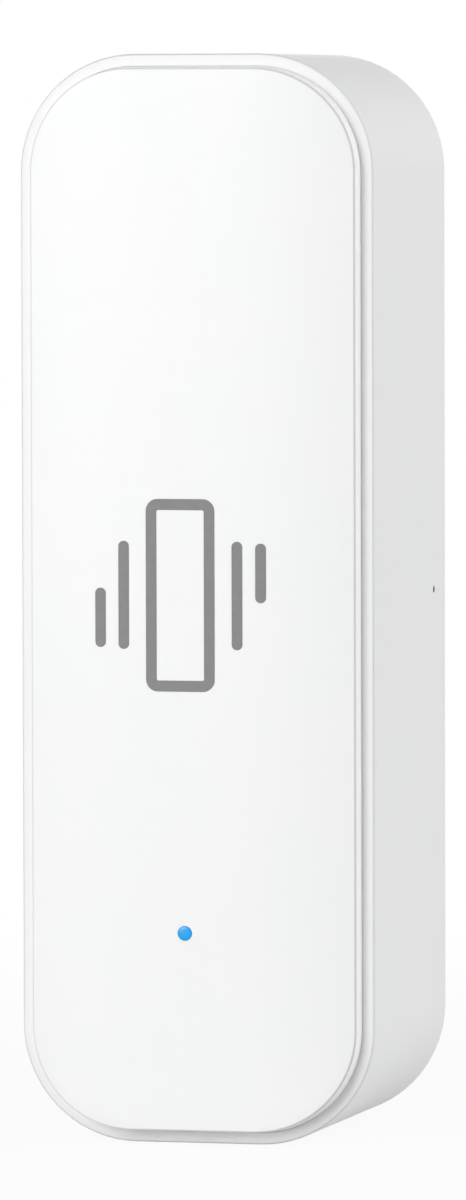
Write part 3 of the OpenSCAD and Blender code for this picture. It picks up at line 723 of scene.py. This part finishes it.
x, y, z, half_w, half_h, high = seat("voltage_regulator")
body_w = half_w - LEG_OUT
legged_mesh = stacked(x, y, z, body_w, half_h, (
    (0.1, 0.06, 0.05), (high * 0.5 - 0.03, 0, 0.06), (high * 0.5 + 0.03, 0, 0.06),
    (high - 0.06, 0.08, 0.06), (high, 0.13, 0.05),
))
leg_path = (
    (body_w - 0.15, high * 0.5), (body_w + 0.05, high * 0.5), (body_w + 0.11, high * 0.42),
    (body_w + 0.13, 0.14), (body_w + 0.18, LEG_T / 2), (half_w, LEG_T / 2),
)
for side, step in LEG_ROWS:
    ribbon(x, y + step, z, side, leg_path, LEG_T, LEG_HALF_W, legged_mesh)
legged, place = new_finish("legged", {"IOR": 1.5})
leg = abs(spots(place)[0] - x).rise(body_w + 0.005, body_w + 0.015)
fine = place.grain(9.0, 3.0)
package = fine.tint(EPOXY_BLACK, shade(EPOXY_BLACK, 1.6))
part_metal(legged, leg, package, TIN, 0.5, 0.2, fine, 0.008)
regulator = piece("regulator", legged_mesh, "housing", legged)
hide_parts("voltage_regulator")

# Chip parts
# Five small capacitors and three small resistors, fired ceramic chips whose ends are dipped in tin
# and soldered flat on the board.
CHIP_PITCH, CHIP_L, CHIP_TIP, CHIP_EDGE_R = 1.4, 1.0, 0.24, 0.05
CAPACITORS, RESISTORS = 5, 3
CERAMIC_TAN = (0.40, 0.29, 0.17, 1)
RESISTOR_BLACK = (0.02, 0.02, 0.024, 1)


def chip_row(node, count, name, finish, waist):
    """A row of chips whose dipped ends stand a little prouder than their middles."""
    x, y, z, half_w, half_h, high = seat(node)
    half, tip = CHIP_L / 2, CHIP_L / 2 - CHIP_TIP
    steps = (
        (-half, 0.03), (-half + 0.03, 0), (-tip - 0.01, 0), (-tip, waist),
        (tip, waist), (tip + 0.01, 0), (half - 0.03, 0), (half, 0.03),
    )
    mesh = bmesh.new()
    for i in range(count):
        middle = x + (i - (count - 1) / 2) * CHIP_PITCH
        rings = []
        for off, less in steps:
            pairs = rounded_pairs(half_h - less, high / 2 - less, CHIP_EDGE_R, 2)
            rings.append([at(middle + off, y + up, z + high / 2 + out) for up, out in pairs])
        skin(rings, mesh=mesh)
    row = piece(name, mesh, "housing", finish)
    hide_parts(node)


def tipped_chip(node, count, name, tone, rough):
    """The finish of a row of chips, dipped at both ends of each."""
    row_x = seat(node)[0]

    def offset(x, y):
        turn = (x - row_x) / CHIP_PITCH + 0.5 * (count % 2) + 10
        return CHIP_PITCH * abs(turn - whole(turn) - 0.5)
    return tipped(name, tone, offset, CHIP_L / 2 - CHIP_TIP, rough)


tan_chip = tipped_chip("chip_capacitors", CAPACITORS, "tan_chip", CERAMIC_TAN, 0.45)
chip_row("chip_capacitors", CAPACITORS, "capacitors", tan_chip, waist=0.015)
black_chip = tipped_chip("chip_resistors", RESISTORS, "black_chip", RESISTOR_BLACK, 0.35)
chip_row("chip_resistors", RESISTORS, "resistors", black_chip, waist=0.03)

# Status lamp
# A tiny blue lamp on a ceramic base with gilt ends, soldered to the board just behind the light
# pipe. Its chip sits under a milky lens.
LAMP_BASE, LAMP_END, LENS_HALF_W = 0.24, 0.2, 0.5
LAMP_CERAMIC = (0.72, 0.72, 0.70, 1)
GILT = (0.83, 0.60, 0.24, 1)
LENS_MILK = (0.62, 0.72, 0.80, 1)
LAMP_GLOW = (0.02, 0.16, 0.5, 1)
UNLIT = (0, 0, 0, 1)
x, y, z, half_w, half_h, high = seat("status_lamp")
lens_in = half_w - LENS_HALF_W
lamp_mesh = stacked(x, y, z, half_w, half_h, (
    (0, 0, 0.05), (LAMP_BASE - 0.03, 0, 0.05), (LAMP_BASE, 0.03, 0.05), (LAMP_BASE, lens_in, 0.05, 0.08),
    (high - 0.1, lens_in + 0.03, 0.07, 0.1), (high - 0.03, lens_in + 0.08, 0.1, 0.12),
    (high, lens_in + 0.16, 0.18, 0.1),
))
milky, place = new_finish("milky", {"IOR": 1.5, "Emission Strength": 0.6})
spot_x, spot_y, spot_z = spots(place)
end = abs(spot_x - x).rise(half_w - LAMP_END - 0.02, half_w - LAMP_END)
lens = (spot_z - z).rise(LAMP_BASE - 0.005, LAMP_BASE + 0.01)
fine = place.grain(10.0)
feed(milky, {
    "Base Color": lens.tint(end.tint(LAMP_CERAMIC, GILT), LENS_MILK),
    "Metallic": end * (1 - lens),
    "Emission Color": lens.tint(UNLIT, LAMP_GLOW),
    "Roughness": 0.45 - 0.2 * lens + 0.15 * fine,
    "Normal": fine.bump(0.004),
})
lamp_piece = piece("status_light", lamp_mesh, "housing", milky)
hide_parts("status_lamp")

# Vibration switch
# A drawn metal can with a rolled foot, closed by a plastic plug. In it a fine spring stands round a
# gilt post, and a knock makes the spring sway against the post.
SWAY_TURNS, SWAY_PITCH, SWAY_WIRE, SWAY_R = 7, 0.8, 0.3, 1.2
CAN_WALL, CAN_EDGE_R, CAN_BEAD = 0.3, 0.5, 0.1
CAN_STEEL = (0.56, 0.55, 0.53, 1)
PLUG_IVORY = (0.62, 0.58, 0.48, 1)
SPRING_STEEL = (0.62, 0.61, 0.60, 1)
COIL_STEPS, WIRE_SIDES = 36, 12
CORE_R = 0.3


def wound(turns, r0, r1, length, wire, foot, u, v):
    """Rings of one wire wound round an axis from its foot, which can narrow towards its tip."""
    u, v = Vector(u), Vector(v)
    along = u.cross(v)
    sides = [2 * math.pi * j / WIRE_SIDES for j in range(WIRE_SIDES)]
    rings = []
    steps = round(turns * COIL_STEPS)
    for i in range(steps + 1):
        t, a = i / steps, 2 * math.pi * i / COIL_STEPS
        out = u * math.cos(a) + v * math.sin(a)
        middle = Vector(foot) + out * (r0 + (r1 - r0) * t) + along * length * t
        rings.append([at(*(middle + (out * math.cos(b) + along * math.sin(b)) * wire / 2)) for b in sides])
    return rings


x, y, z, can_r, half_h, high = seat("vibration_can")
bore = can_r - CAN_WALL
can_profile = [
    (CORE_R, high - CAN_WALL), (bore - 0.15, high - CAN_WALL), (bore, high - CAN_WALL - 0.15), (bore, 0),
    (can_r - 0.06, 0), (can_r, 0.06), (can_r, 0.55), (can_r - CAN_BEAD, 0.7), (can_r - CAN_BEAD, 0.85),
    (can_r, 1.0),
]
can_profile += rounding(can_r - CAN_EDGE_R, high - CAN_EDGE_R, CAN_EDGE_R, 0, 90, 4)
can_profile += [(can_r - CAN_EDGE_R - 0.5, high), (CORE_R, high)]
can_mesh = skin(turned_rings(can_profile, (x, y, z), "z", 56))
can_steel = plated("can_steel", CAN_STEEL, 0.22, rolled=(1, 0.1, 1))
sway_can = piece("sway_can", can_mesh, "housing", can_steel)
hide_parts("vibration_can")
ivory = moulded_dark("ivory", PLUG_IVORY)
dress("vibration_base", ivory, edge_r=0.05)
gilt = plated("gilt", GILT, 0.2, rolled=(1, 0.15, 1))
dress("vibration_post", gilt, edge_r=0.08)
x, y, z, half_w, half_h, high = seat("vibration_spring")
sway_mesh = skin(wound(
    SWAY_TURNS, SWAY_R, SWAY_R, SWAY_TURNS * SWAY_PITCH, SWAY_WIRE, (x, y, z + SWAY_WIRE / 2),
    (1, 0, 0), (0, 1, 0)))
spring_steel = plated("spring_steel", SPRING_STEEL, 0.2)
sway_spring = piece("sway_wire", sway_mesh, "sway_spring", spring_steel)
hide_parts("vibration_spring")

# Reset switch
# A side-pushed switch on the back of the board, behind the pinhole. A black body in a folded nickel
# frame guides a white plunger.
PLUNGER_WHITE = (0.66, 0.66, 0.64, 1)
dress("reset_switch_body", epoxy, edge_r=0.08)
reset_nickel = plated("reset_nickel", SHIELD_NICKEL, 0.26, rolled=(0.1, 1, 1))
dress("reset_switch_frame", reset_nickel, edge_r=0.04)
plunger_white = moulded_dark("plunger_white", PLUNGER_WHITE)
dress("reset_plunger", plunger_white, edge_r=0.1)

# Battery tray
# A dark moulded tray with a round cradle for each cell and a wall at each end. It lies on the board,
# and two screws hold both in the housing.
TRAY_DARK = (0.030, 0.031, 0.034, 1)
tray_plastic = moulded_dark("tray_plastic", TRAY_DARK, rough=0.46, texture=6.0)
dress("battery_tray", tray_plastic, edge_r=0.14)

# Screws
# Pan-head steel screws with a cross recess. Two go through the tray and the board, and two hold the
# board's lower end.
SHANK_R, THREAD_DEPTH, THREAD_PITCH = 0.8, 0.13, 0.4
THREAD_CURVE = ((THREAD_DEPTH, 0), (0, 0.16), (0, 0.2), (THREAD_DEPTH, 0.36))
HEAD_R, HEAD_H, TIP_R = 1.5, 1.0, 0.25
HEAD_CURVE = ((0.08, 0), (0, 0.08), (0, 0.42), (0.06, 0.6), (0.2, 0.78), (0.45, 0.92), (0.8, HEAD_H))
RECESS_L, RECESS_W, RECESS_DEPTH, RECESS_TAPER = 1.8, 0.4, 0.6, 0.55
RECESS_CORNERS = ((-1, -1), (1, -1), (1, 1), (-1, 1))
SCREW_STEEL = (0.50, 0.49, 0.47, 1)


def screws(name, node, places, head_z):
    """Turned screws at some places, with their heads standing on one depth."""
    profile = [(TIP_R, SCREW_END_Z), (SHANK_R - THREAD_DEPTH - 0.1, SCREW_END_Z + 0.1)]
    for i in range(int((head_z - SCREW_END_Z - 0.5) / THREAD_PITCH)):
        low = SCREW_END_Z + 0.15 + i * THREAD_PITCH
        profile += [(SHANK_R - less, low + up) for less, up in THREAD_CURVE]
    profile.append((SHANK_R - THREAD_DEPTH / 2, head_z))
    profile += [(HEAD_R - less, head_z + up) for less, up in HEAD_CURVE]
    top_z = head_z + HEAD_H
    profile.append((TIP_R, top_z))
    mesh = bmesh.new()
    cuts = []
    for x, y in places:
        skin(turned_rings(profile, (x, y, 0), "z", 44), mesh=mesh)
        for w, h in ((RECESS_L / 2, RECESS_W / 2), (RECESS_W / 2, RECESS_L / 2)):
            rings = []
            for z, f in ((top_z - RECESS_DEPTH, RECESS_TAPER), (top_z + SUNK, 1)):
                rings.append([at(x + a * w * f, y + b * h * f, z) for a, b in RECESS_CORNERS])
            cuts.append(rings)
    made = piece(name, worked(mesh, cuts, "DIFFERENCE"), "housing", screw_steel)
    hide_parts(node)


screw_steel = plated("screw_steel", SCREW_STEEL, 0.26)
x, y, z, half_w, half_h, high = seat("tray_screws")
screws("tray_fixings", "tray_screws", TRAY_SCREWS, z + high - HEAD_H)
screws("board_fixings", "board_screws", BOARD_SCREWS, BOARD_FACE_Z)

# Battery contacts
# Plates cut and pressed from nickel-plated steel strip, with a dimple for each cell's button. They
# stand against the tray's end walls, and a tab of each is soldered through the board.
CONTACT_NICKEL = (0.64, 0.63, 0.60, 1)
contact_nickel = plated("contact_nickel", CONTACT_NICKEL, 0.2, rolled=(0.12, 1, 1))
for node in ("positive_contact", "negative_contact", "bridge_contact"):
    dress(node, contact_nickel, edge_r=0.07)

# Cell springs
# Two cone-shaped springs of plated wire, welded to the plates at the cells' negative ends.
SPRING_TURNS, SPRING_R, SPRING_TIP_R = 3.5, 3.2, 1.7
SPRING_WIRE, SPRING_L, SPRING_GAP = 0.5, 3.5, 0.02
CELL_X, CELL_Z = 5.4, 11.65
UPPER_CONTACT_Y, LOWER_CONTACT_Y = 30.3363, -17.8837
SPRING_PLACES = (
    # piece, node, joint, side, contact's height, way along
    ("upper_spring", "negative_spring", "right_cell_slide", 1, UPPER_CONTACT_Y, -1),
    ("lower_spring", "bridge_spring", "left_cell_slide", -1, LOWER_CONTACT_Y, 1),
)
wire_l = SPRING_L - SPRING_WIRE - 2 * SPRING_GAP
for name, node, joint, side, contact_y, way in SPRING_PLACES:
    foot = (side * CELL_X, contact_y + way * (SPRING_WIRE / 2 + SPRING_GAP), CELL_Z)
    rings = wound(SPRING_TURNS, SPRING_R, SPRING_TIP_R, wire_l, SPRING_WIRE, foot, (-way, 0, 0), (0, 0, 1))
    spring = piece(name, skin(rings), "housing", spring_steel)
    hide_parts(node)
    at(side * CELL_X, contact_y, CELL_Z)
    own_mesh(spring)

# Battery cells
# Two AAA cells, head to foot. Each is a drawn steel can in a plain shrunk sleeve, packed with a dark
# paste, and closed by a pressed cap with a button in a plastic ring.
CELL_R, CELL_CAN_WALL, CAN_L = 5.25, 0.3, 43.6
CELL_CAP_T, CELL_FIT = 0.6, 0.05
BUTTON_R, BUTTON_H = 1.8, 0.9
SLEEVE_LAP, SLEEVE_BAND = 0.55, 32.5
LINE_START, LINE_END = SLEEVE_BAND - 1.0, SLEEVE_BAND - 0.55
SHRUNK_L = 1.6
SLEEVE_SLATE = (0.040, 0.075, 0.085, 1)
SLEEVE_GREY = (0.42, 0.44, 0.45, 1)
CELL_STEEL = (0.60, 0.59, 0.57, 1)
RING_DARK = (0.035, 0.035, 0.037, 1)
PASTE = (0.020, 0.019, 0.018, 1)
CELL_PLACES = (
    # name, side, height of the base, axis, way of the button
    ("left_cell", -1, -14.3837, "y", 1),
    ("right_cell", 1, 26.8363, "-y", -1),
)
can_r = CELL_R - CELL_CAN_WALL
sleeve_profile = (
    (CORE_R, CELL_CAN_WALL), (can_r, CELL_CAN_WALL), (can_r, CAN_L - 0.12), (can_r + 0.06, CAN_L),
    (CELL_R - 0.12, CAN_L), (CELL_R - 0.03, CAN_L - 0.08), (CELL_R, CAN_L - 0.22), (CELL_R, CAN_L - 0.9),
    (CELL_R, 0.9), (CELL_R, 0.32), (CELL_R - 0.04, 0.16), (CELL_R - 0.14, 0.05), (CELL_R - 0.3, 0),
    (CELL_R - SLEEVE_LAP, 0), (CELL_R - SLEEVE_LAP - 0.03, 0.05), (3.9, 0.05), (3.7, 0.12), (3.3, 0.12),
    (3.1, 0.03), (CORE_R, 0.03),
)
cap_r = can_r - CELL_FIT
cap_z = CAN_L - CELL_CAP_T
button_z = CAN_L + BUTTON_H
cap_profile = (
    (CORE_R, cap_z), (cap_r - 0.08, cap_z), (cap_r, cap_z + 0.08), (cap_r, CAN_L - 0.1),
    (cap_r - 0.1, CAN_L), (cap_r - 0.55, CAN_L), (cap_r - 0.62, CAN_L - 0.1), (BUTTON_R + 0.7, CAN_L - 0.1),
    (BUTTON_R + 0.25, CAN_L - 0.06), (BUTTON_R + 0.06, CAN_L + 0.06), (BUTTON_R, CAN_L + 0.25),
    (BUTTON_R, button_z - 0.3), (BUTTON_R - 0.06, button_z - 0.14), (BUTTON_R - 0.18, button_z - 0.04),
    (BUTTON_R - 0.36, button_z), (CORE_R, button_z),
)
paste, place = new_finish("paste", {"IOR": 1.5})
grit = pores(place, 6.0)
feed(paste, {
    "Base Color": grit.tint(PASTE, shade(PASTE, 3)),
    "Roughness": 0.7 + 0.2 * grit,
    "Normal": grit.bump(0.04),
})
for name, side, base_y, axis, way in CELL_PLACES:
    foot = (side * CELL_X, base_y, CELL_Z)
    sleeve_film, place = new_finish(name + "_film", {"IOR": 1.5, "Coat Roughness": 0.2})
    x, y, z = spots(place)
    up = (y - base_y) * way
    out = (x - side * CELL_X).reach(z - CELL_Z)
    sleeve = out.rise(CELL_R - SLEEVE_LAP - 0.02, CELL_R - SLEEVE_LAP)
    band = up.rise(SLEEVE_BAND - 0.03, SLEEVE_BAND + 0.03)
    line = up.rise(LINE_START, LINE_START + 0.05) * up.rise(LINE_END, LINE_END - 0.05)
    printed = band.most(line)
    shrink = drawn(place, (1, 1, 0.15)).grain(1.6)
    fine = place.grain(9.0)
    edge = up.rise(SHRUNK_L, 0.4).most(up.rise(CAN_L - SHRUNK_L, CAN_L - 0.4))
    film = (0.5 * fine).tint(printed.tint(SLEEVE_SLATE, SLEEVE_GREY), shade(SLEEVE_SLATE, 0.8))
    feed(sleeve_film, {
        "Base Color": sleeve.tint(CELL_STEEL, film),
        "Metallic": 1 - sleeve * (1 - 0.35 * printed),
        "Roughness": 0.26 + 0.1 * sleeve + 0.1 * fine,
        "Coat Weight": 0.4 * sleeve,
        "Normal": (shrink * edge + 0.08 * fine).bump(0.03),
    })
    sleeve_mesh = skin(turned_rings(sleeve_profile, foot, axis, 72))
    sleeved = piece(name + "_sleeve", sleeve_mesh, name, sleeve_film)
    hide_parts(name + "_can")
    cap_steel, place = new_finish(name + "_steel", {"IOR": 1.5})
    x, y, z = spots(place)
    bare = (x - side * CELL_X).reach(z - CELL_Z).rise(cap_r - 0.56, cap_r - 0.6)
    fine = place.grain(7.0, 3.0)
    steel = fine.tint(CELL_STEEL, shade(CELL_STEEL, 0.86))
    part_metal(cap_steel, bare, RING_DARK, steel, 0.49, 0.25, fine, 0.004)
    cap_mesh = skin(turned_rings(cap_profile, foot, axis, 56))
    cap = piece(name + "_button", cap_mesh, name, cap_steel)
    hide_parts(name + "_cap")
    dress(name + "_filling", paste, edge_r=0.1)

# Front cover
# A white moulded cover that plugs into the tub with a skirt and stands proud of the lip. Its face
# is crowned a little from side to side, and its edge is finished with a small rounding.
COVER_INSET, COVER_FOOT_INSET = 0.812, 0.81
COVER_DRAFT, COVER_EDGE_R = 0.15, 0.07
COVER_CROWN, CROWN_POWER = 0.7, 3
FACE_Z, FACE_RINGS = 22.4, 22
COVER_INNER_Z, COVER_SEAT_Z = 20.8, 19.35
SKIRT_Z, SKIRT_INSET, SKIRT_EDGE_R = 17.5, 1.5, 0.15
HOLLOW_INSET = 2.4
NIB_Z, NIB_OUT = 17.7, 0.15
LIGHT_X, LIGHT_Y, LIGHT_R, LIGHT_FIT = -0.44, -21.9337, 0.48, 0.02
COVER_WHITE = (0.86, 0.86, 0.86, 1)
COVER_ROUGH = 0.34
# Painted light and shade: how much paler the cover's side is painted, and how dark its painted edge line is
# on the right.
PAINTED_SIDE_LIGHT, RIGHT_EDGE_SHADE = 1.1, 0.68


def crowned(ring):
    """A ring of the cover's front, lowered as the crown falls away from the middle."""
    half_w, fall = HALF_W * MM, COVER_CROWN * MM
    return [Vector((x, y + fall * abs(x / half_w) ** CROWN_POWER, z)) for x, y, z in ring]


def cover_shades(x, y, z):
    """Painted light on the cover's side, which is painted paler, and a thin painted shade line along the
    edge of its face, darker on the right.
    """
    inset = edge_inset(x, y)
    side = inset.rise(face_edge - 0.05, face_edge - 0.09) * z.rise(RIM_Z - 0.1, RIM_Z)
    line = inset.rise(face_edge - 0.09, face_edge - 0.05) * inset.rise(face_edge + 0.05, face_edge + 0.01)
    line = line * z.rise(RIM_Z + 0.7, RIM_Z + 0.9)
    right = line * x.rise(0, HALF_W - 2)
    return (side, PAINTED_SIDE_LIGHT), (line, EDGE_SHADE), (right, RIGHT_EDGE_SHADE)


face_edge = COVER_INSET + COVER_DRAFT + COVER_EDGE_R
inner_profile = (
    (HOLLOW_INSET, COVER_INNER_Z), (HOLLOW_INSET, SKIRT_Z), (SKIRT_INSET + SKIRT_EDGE_R, SKIRT_Z),
    (SKIRT_INSET, SKIRT_Z + SKIRT_EDGE_R), (SKIRT_INSET, COVER_SEAT_Z), (COVER_FOOT_INSET, COVER_SEAT_Z),
    (COVER_FOOT_INSET, RIM_Z - 0.05), (COVER_INSET, RIM_Z - 0.02),
)
cover_rings = [case_ring(inset, z) for inset, z in inner_profile]
for inset, z in rounding(face_edge, FACE_Z - COVER_EDGE_R, COVER_EDGE_R, 180, 90):
    cover_rings.append(crowned(case_ring(inset, z)))
for i in range(1, FACE_RINGS + 1):
    left = 1 - i / (FACE_RINGS + 1)
    w = (HALF_W - face_edge) * left
    h = HALF_H - face_edge - (HALF_W - face_edge) * (1 - left)
    cover_rings.append(crowned(rounded_ring(w, h, (CORNER_R - face_edge) * left, FACE_Z)))
skirt_half_w = HALF_W - SKIRT_INSET
nibs = snap_bars(skirt_half_w - SUNK, skirt_half_w + NIB_OUT, NIB_Z)
cover_mesh = worked(skin(cover_rings), nibs, "UNION")
hole_r = LIGHT_R + LIGHT_FIT
hole_profile = ((hole_r, -1), (hole_r, FACE_Z - COVER_INNER_Z + 1))
light_hole = turned_rings(hole_profile, (LIGHT_X, LIGHT_Y, COVER_INNER_Z), "z", 32)
cover_mesh = worked(cover_mesh, [light_hole], "DIFFERENCE")
cover_white = moulded_white("cover_white", COVER_WHITE, cover_shades, COVER_ROUGH)
cover = piece("cover", cover_mesh, "cover", cover_white)
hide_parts("front_cover")

# Printed symbol
# The sign for vibration, an upright frame with two bars on each side, screen-printed on the cover
# in one coat of grey ink that lies on the plastic.
SYMBOL_X, SYMBOL_Y = -0.7, 0.37
FRAME_W, FRAME_H, FRAME_R, FRAME_INNER_R = 4.68, 12.7, 0.8, 0.12
STROKE = 0.73
BARS = ((-3.86, 0, 7.14), (3.86, 0, 7.14), (-5.46, -1.5, 3.92), (5.46, 1.5, 3.92))
INK_T, INK_SUNK, INK_EDGE = 0.03, 0.02, 0.015
INK_STEPS = ((0, -INK_SUNK), (0, INK_T - INK_EDGE), (INK_EDGE, INK_T))
INK_GREY = (0.222, 0.222, 0.224, 1)


def ink_edge(x, y, w, h, r, way=1):
    """Rings up the edge of the coat round a shape, which lean inwards, or outwards for a hole."""
    rings = []
    for step, z in INK_STEPS:
        less = way * step
        rings.append(crowned(rounded_ring(w - less, h - less, r - less, FACE_Z + z, 10, (x, y))))
    return rings


half_w, half_h = FRAME_W / 2, FRAME_H / 2
outer_edge = ink_edge(SYMBOL_X, SYMBOL_Y, half_w, half_h, FRAME_R)
inner_edge = ink_edge(SYMBOL_X, SYMBOL_Y, half_w - STROKE, half_h - STROKE, FRAME_INNER_R, way=-1)
symbol_mesh = skin(outer_edge + inner_edge[::-1], capped=False)
for x, y, length in BARS:
    edge = ink_edge(SYMBOL_X + x, SYMBOL_Y + y, STROKE / 2, length / 2, STROKE / 2 - 0.01)
    skin(edge, mesh=symbol_mesh)
grey_ink, place = new_finish("grey_ink", {"IOR": 1.45})
mottle = place.grain(2.2, 4.0, 0.65)
feed(grey_ink, {
    "Base Color": mottle.rise(0.3, 0.7).tint(INK_GREY, shade(INK_GREY, 0.94)),
    "Roughness": 0.5 + 0.15 * mottle,
    "Normal": place.grain(14.0).bump(0.004),
})
symbol = piece("symbol", symbol_mesh, "cover", grey_ink)
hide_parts("printed_symbol")

# Light pipe
# A pale blue rod that carries the lamp's light from the board to the cover's face. It is glued behind the
# cover by its flange, and its tip is polished flush with the face. Its tip is painted as a glowing deep
# blue, a little dimmer at its rim.
PIPE_END_Z, PIPE_R = 6.4, 1.2
PIPE_FLANGE_R, PIPE_FLANGE_T = 1.8, 0.8
BLUE_TIP = (0.008, 0.16, 0.38, 1)
BLUE_GLOW = (0.0, 0.19, 0.44, 1)
RIM_GLOW = (0.0, 0.16, 0.37, 1)
BLUE_ROD = (0.56, 0.74, 0.86, 1)
flange_z = COVER_INNER_Z - PIPE_FLANGE_T
pipe_profile = (
    (PIPE_R - 0.15, PIPE_END_Z), (PIPE_R, PIPE_END_Z + 0.15), (PIPE_R, flange_z - 0.2),
    (PIPE_R + 0.2, flange_z), (PIPE_FLANGE_R - 0.1, flange_z), (PIPE_FLANGE_R, flange_z + 0.1),
    (PIPE_FLANGE_R, COVER_INNER_Z), (LIGHT_R, COVER_INNER_Z), (LIGHT_R, FACE_Z - 0.03),
    (LIGHT_R - 0.06, FACE_Z - 0.005), (LIGHT_R - 0.25, FACE_Z),
)
blue_light, place = new_finish(
    "blue_light", {"IOR": 1.49, "Specular IOR Level": 0.3, "Emission Strength": 1.0})
x, y, z = spots(place)
# Painted glow: only the tip in the cover's face is painted glowing, and its rim a little less.
lit = z.rise(COVER_INNER_Z - 0.2, COVER_INNER_Z + 0.6)
rim = (x - LIGHT_X).reach(y - LIGHT_Y).rise(LIGHT_R - 0.16, LIGHT_R - 0.01)
feed(blue_light, {
    "Base Color": lit.tint(BLUE_ROD, BLUE_TIP),
    "Emission Color": lit.tint(UNLIT, rim.tint(BLUE_GLOW, RIM_GLOW)),
    "Roughness": 0.18 + 0.12 * place.grain(1.5),
    "Normal": place.grain(4.0).bump(0.003),
})
light_mesh = skin(turned_rings(pipe_profile, (LIGHT_X, LIGHT_Y, 0), "z"))
light = piece("light", light_mesh, "cover", blue_light)
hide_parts("light_pipe")

# Studio
# A pale floor and soft light all round, with a tall soft lamp in front and to the left, a large one
# on the right and a weak one low behind. The camera stands where the photograph was taken, a
# little to the right and above.
FLOOR_SIZE, FLOOR_GAP, FLOOR_SQUARES = 8.0, 0.02, 8
PALE = (0.7, 0.7, 0.7, 1)
PURE_WHITE = (1, 1, 1, 1)
SHADOW_SHARE = 0.07
SHADOW_REACH = (0.03, 0.16)
CAMERA_PLACE = (0.160216, -0.629313, 0.031736)
CAMERA_RIGHT = (0.967954, 0.251115, -0.002463)
CAMERA_UP = (-0.010286, 0.049446, 0.998724)
CAMERA_FORWARD = (-0.250916, 0.966694, -0.050444)
LENS, SENSOR_W = 286.19, 36.0
NEAR, FAR = 0.01, 50.0
AMBIENT = 0.27
LAMPS = (
    # name, place, width, height, power
    ("key_lamp", (-0.40, -0.985, 0.14), 0.4, 0.9, 11.35),
    ("side_lamp", (1.00, 0.10, 0.36), 0.9, 0.9, 7.6),
    ("back_lamp", (-0.60, 0.85, 0.04), 0.9, 0.9, 3.0),
)


def backdrop_rays(tree):
    """1 for the rays that show the backdrop: straight, mirrored or through clear plastic."""
    rays = tree.nodes.new("ShaderNodeLightPath").outputs
    names = ("Is Camera Ray", "Is Glossy Ray", "Is Transmission Ray")
    straight, mirrored, through = (Wire(tree, rays[name]) for name in names)
    return straight.most(mirrored).most(through)


scene = bpy.context.scene
floor_mesh = bmesh.new()
bmesh.ops.create_grid(floor_mesh, x_segments=FLOOR_SQUARES, y_segments=FLOOR_SQUARES, size=FLOOR_SIZE / 2)
floor = solid(floor_mesh, "floor")
floor.location.z = cad_box[0].z - FLOOR_GAP * MM
floor_pale = bpy.data.materials.new("floor_pale")
floor_pale.use_nodes = True
floor.data.materials.append(floor_pale)
tree = floor_pale.node_tree
tree.nodes.remove(tree.nodes["Principled BSDF"])
spot = Wire(tree, tree.nodes.new("ShaderNodeTexCoord").outputs["Object"])
away = spot.node("ShaderNodeVectorMath", {"operation": "LENGTH"}, {0: spot}, "Value").rise(*SHADOW_REACH)
seen = backdrop_rays(tree)
matte = seen.node("ShaderNodeBsdfDiffuse", {}, {"Color": PALE})
white = seen.node("ShaderNodeEmission", {}, {"Color": PURE_WHITE, "Strength": 1.0})
lit = seen * (1 - SHADOW_SHARE * (1 - away))
shown = seen.node("ShaderNodeMixShader", {}, {0: lit, 1: matte, 2: white})
tree.links.new(shown.socket, tree.nodes["Material Output"].inputs["Surface"])

world = bpy.data.worlds.new("studio")
scene.world = world
world.use_nodes = True
tree = world.node_tree
seen = backdrop_rays(tree)
around = seen.node("ShaderNodeBackground", {}, {"Color": PURE_WHITE, "Strength": AMBIENT})
behind = seen.node("ShaderNodeBackground", {}, {"Color": PURE_WHITE, "Strength": 1.0})
mixed = seen.node("ShaderNodeMixShader", {}, {0: seen, 1: around, 2: behind})
tree.links.new(mixed.socket, tree.nodes["World Output"].inputs["Surface"])

for name, spot, width, height, power in LAMPS:
    lamp_data = bpy.data.lights.new(name, "AREA")
    lamp_data.shape = "RECTANGLE"
    lamp_data.size = width
    lamp_data.size_y = height
    lamp_data.energy = power
    lamp = bpy.data.objects.new(name, lamp_data)
    lamp.location = spot
    lamp.rotation_euler = (-Vector(spot)).to_track_quat("-Z", "Y").to_euler()
    lamp.visible_camera = False
    scene.collection.objects.link(lamp)

camera_data = bpy.data.cameras.new("camera")
camera_data.lens = LENS
camera_data.sensor_width = SENSOR_W
camera_data.clip_start, camera_data.clip_end = NEAR, FAR
camera = bpy.data.objects.new("camera", camera_data)
axes = Matrix((CAMERA_RIGHT, CAMERA_UP, -Vector(CAMERA_FORWARD))).transposed()
camera.matrix_world = Matrix.Translation(CAMERA_PLACE) @ axes.to_4x4()
scene.collection.objects.link(camera)
scene.camera = camera
scene.view_settings.view_transform = "Standard"
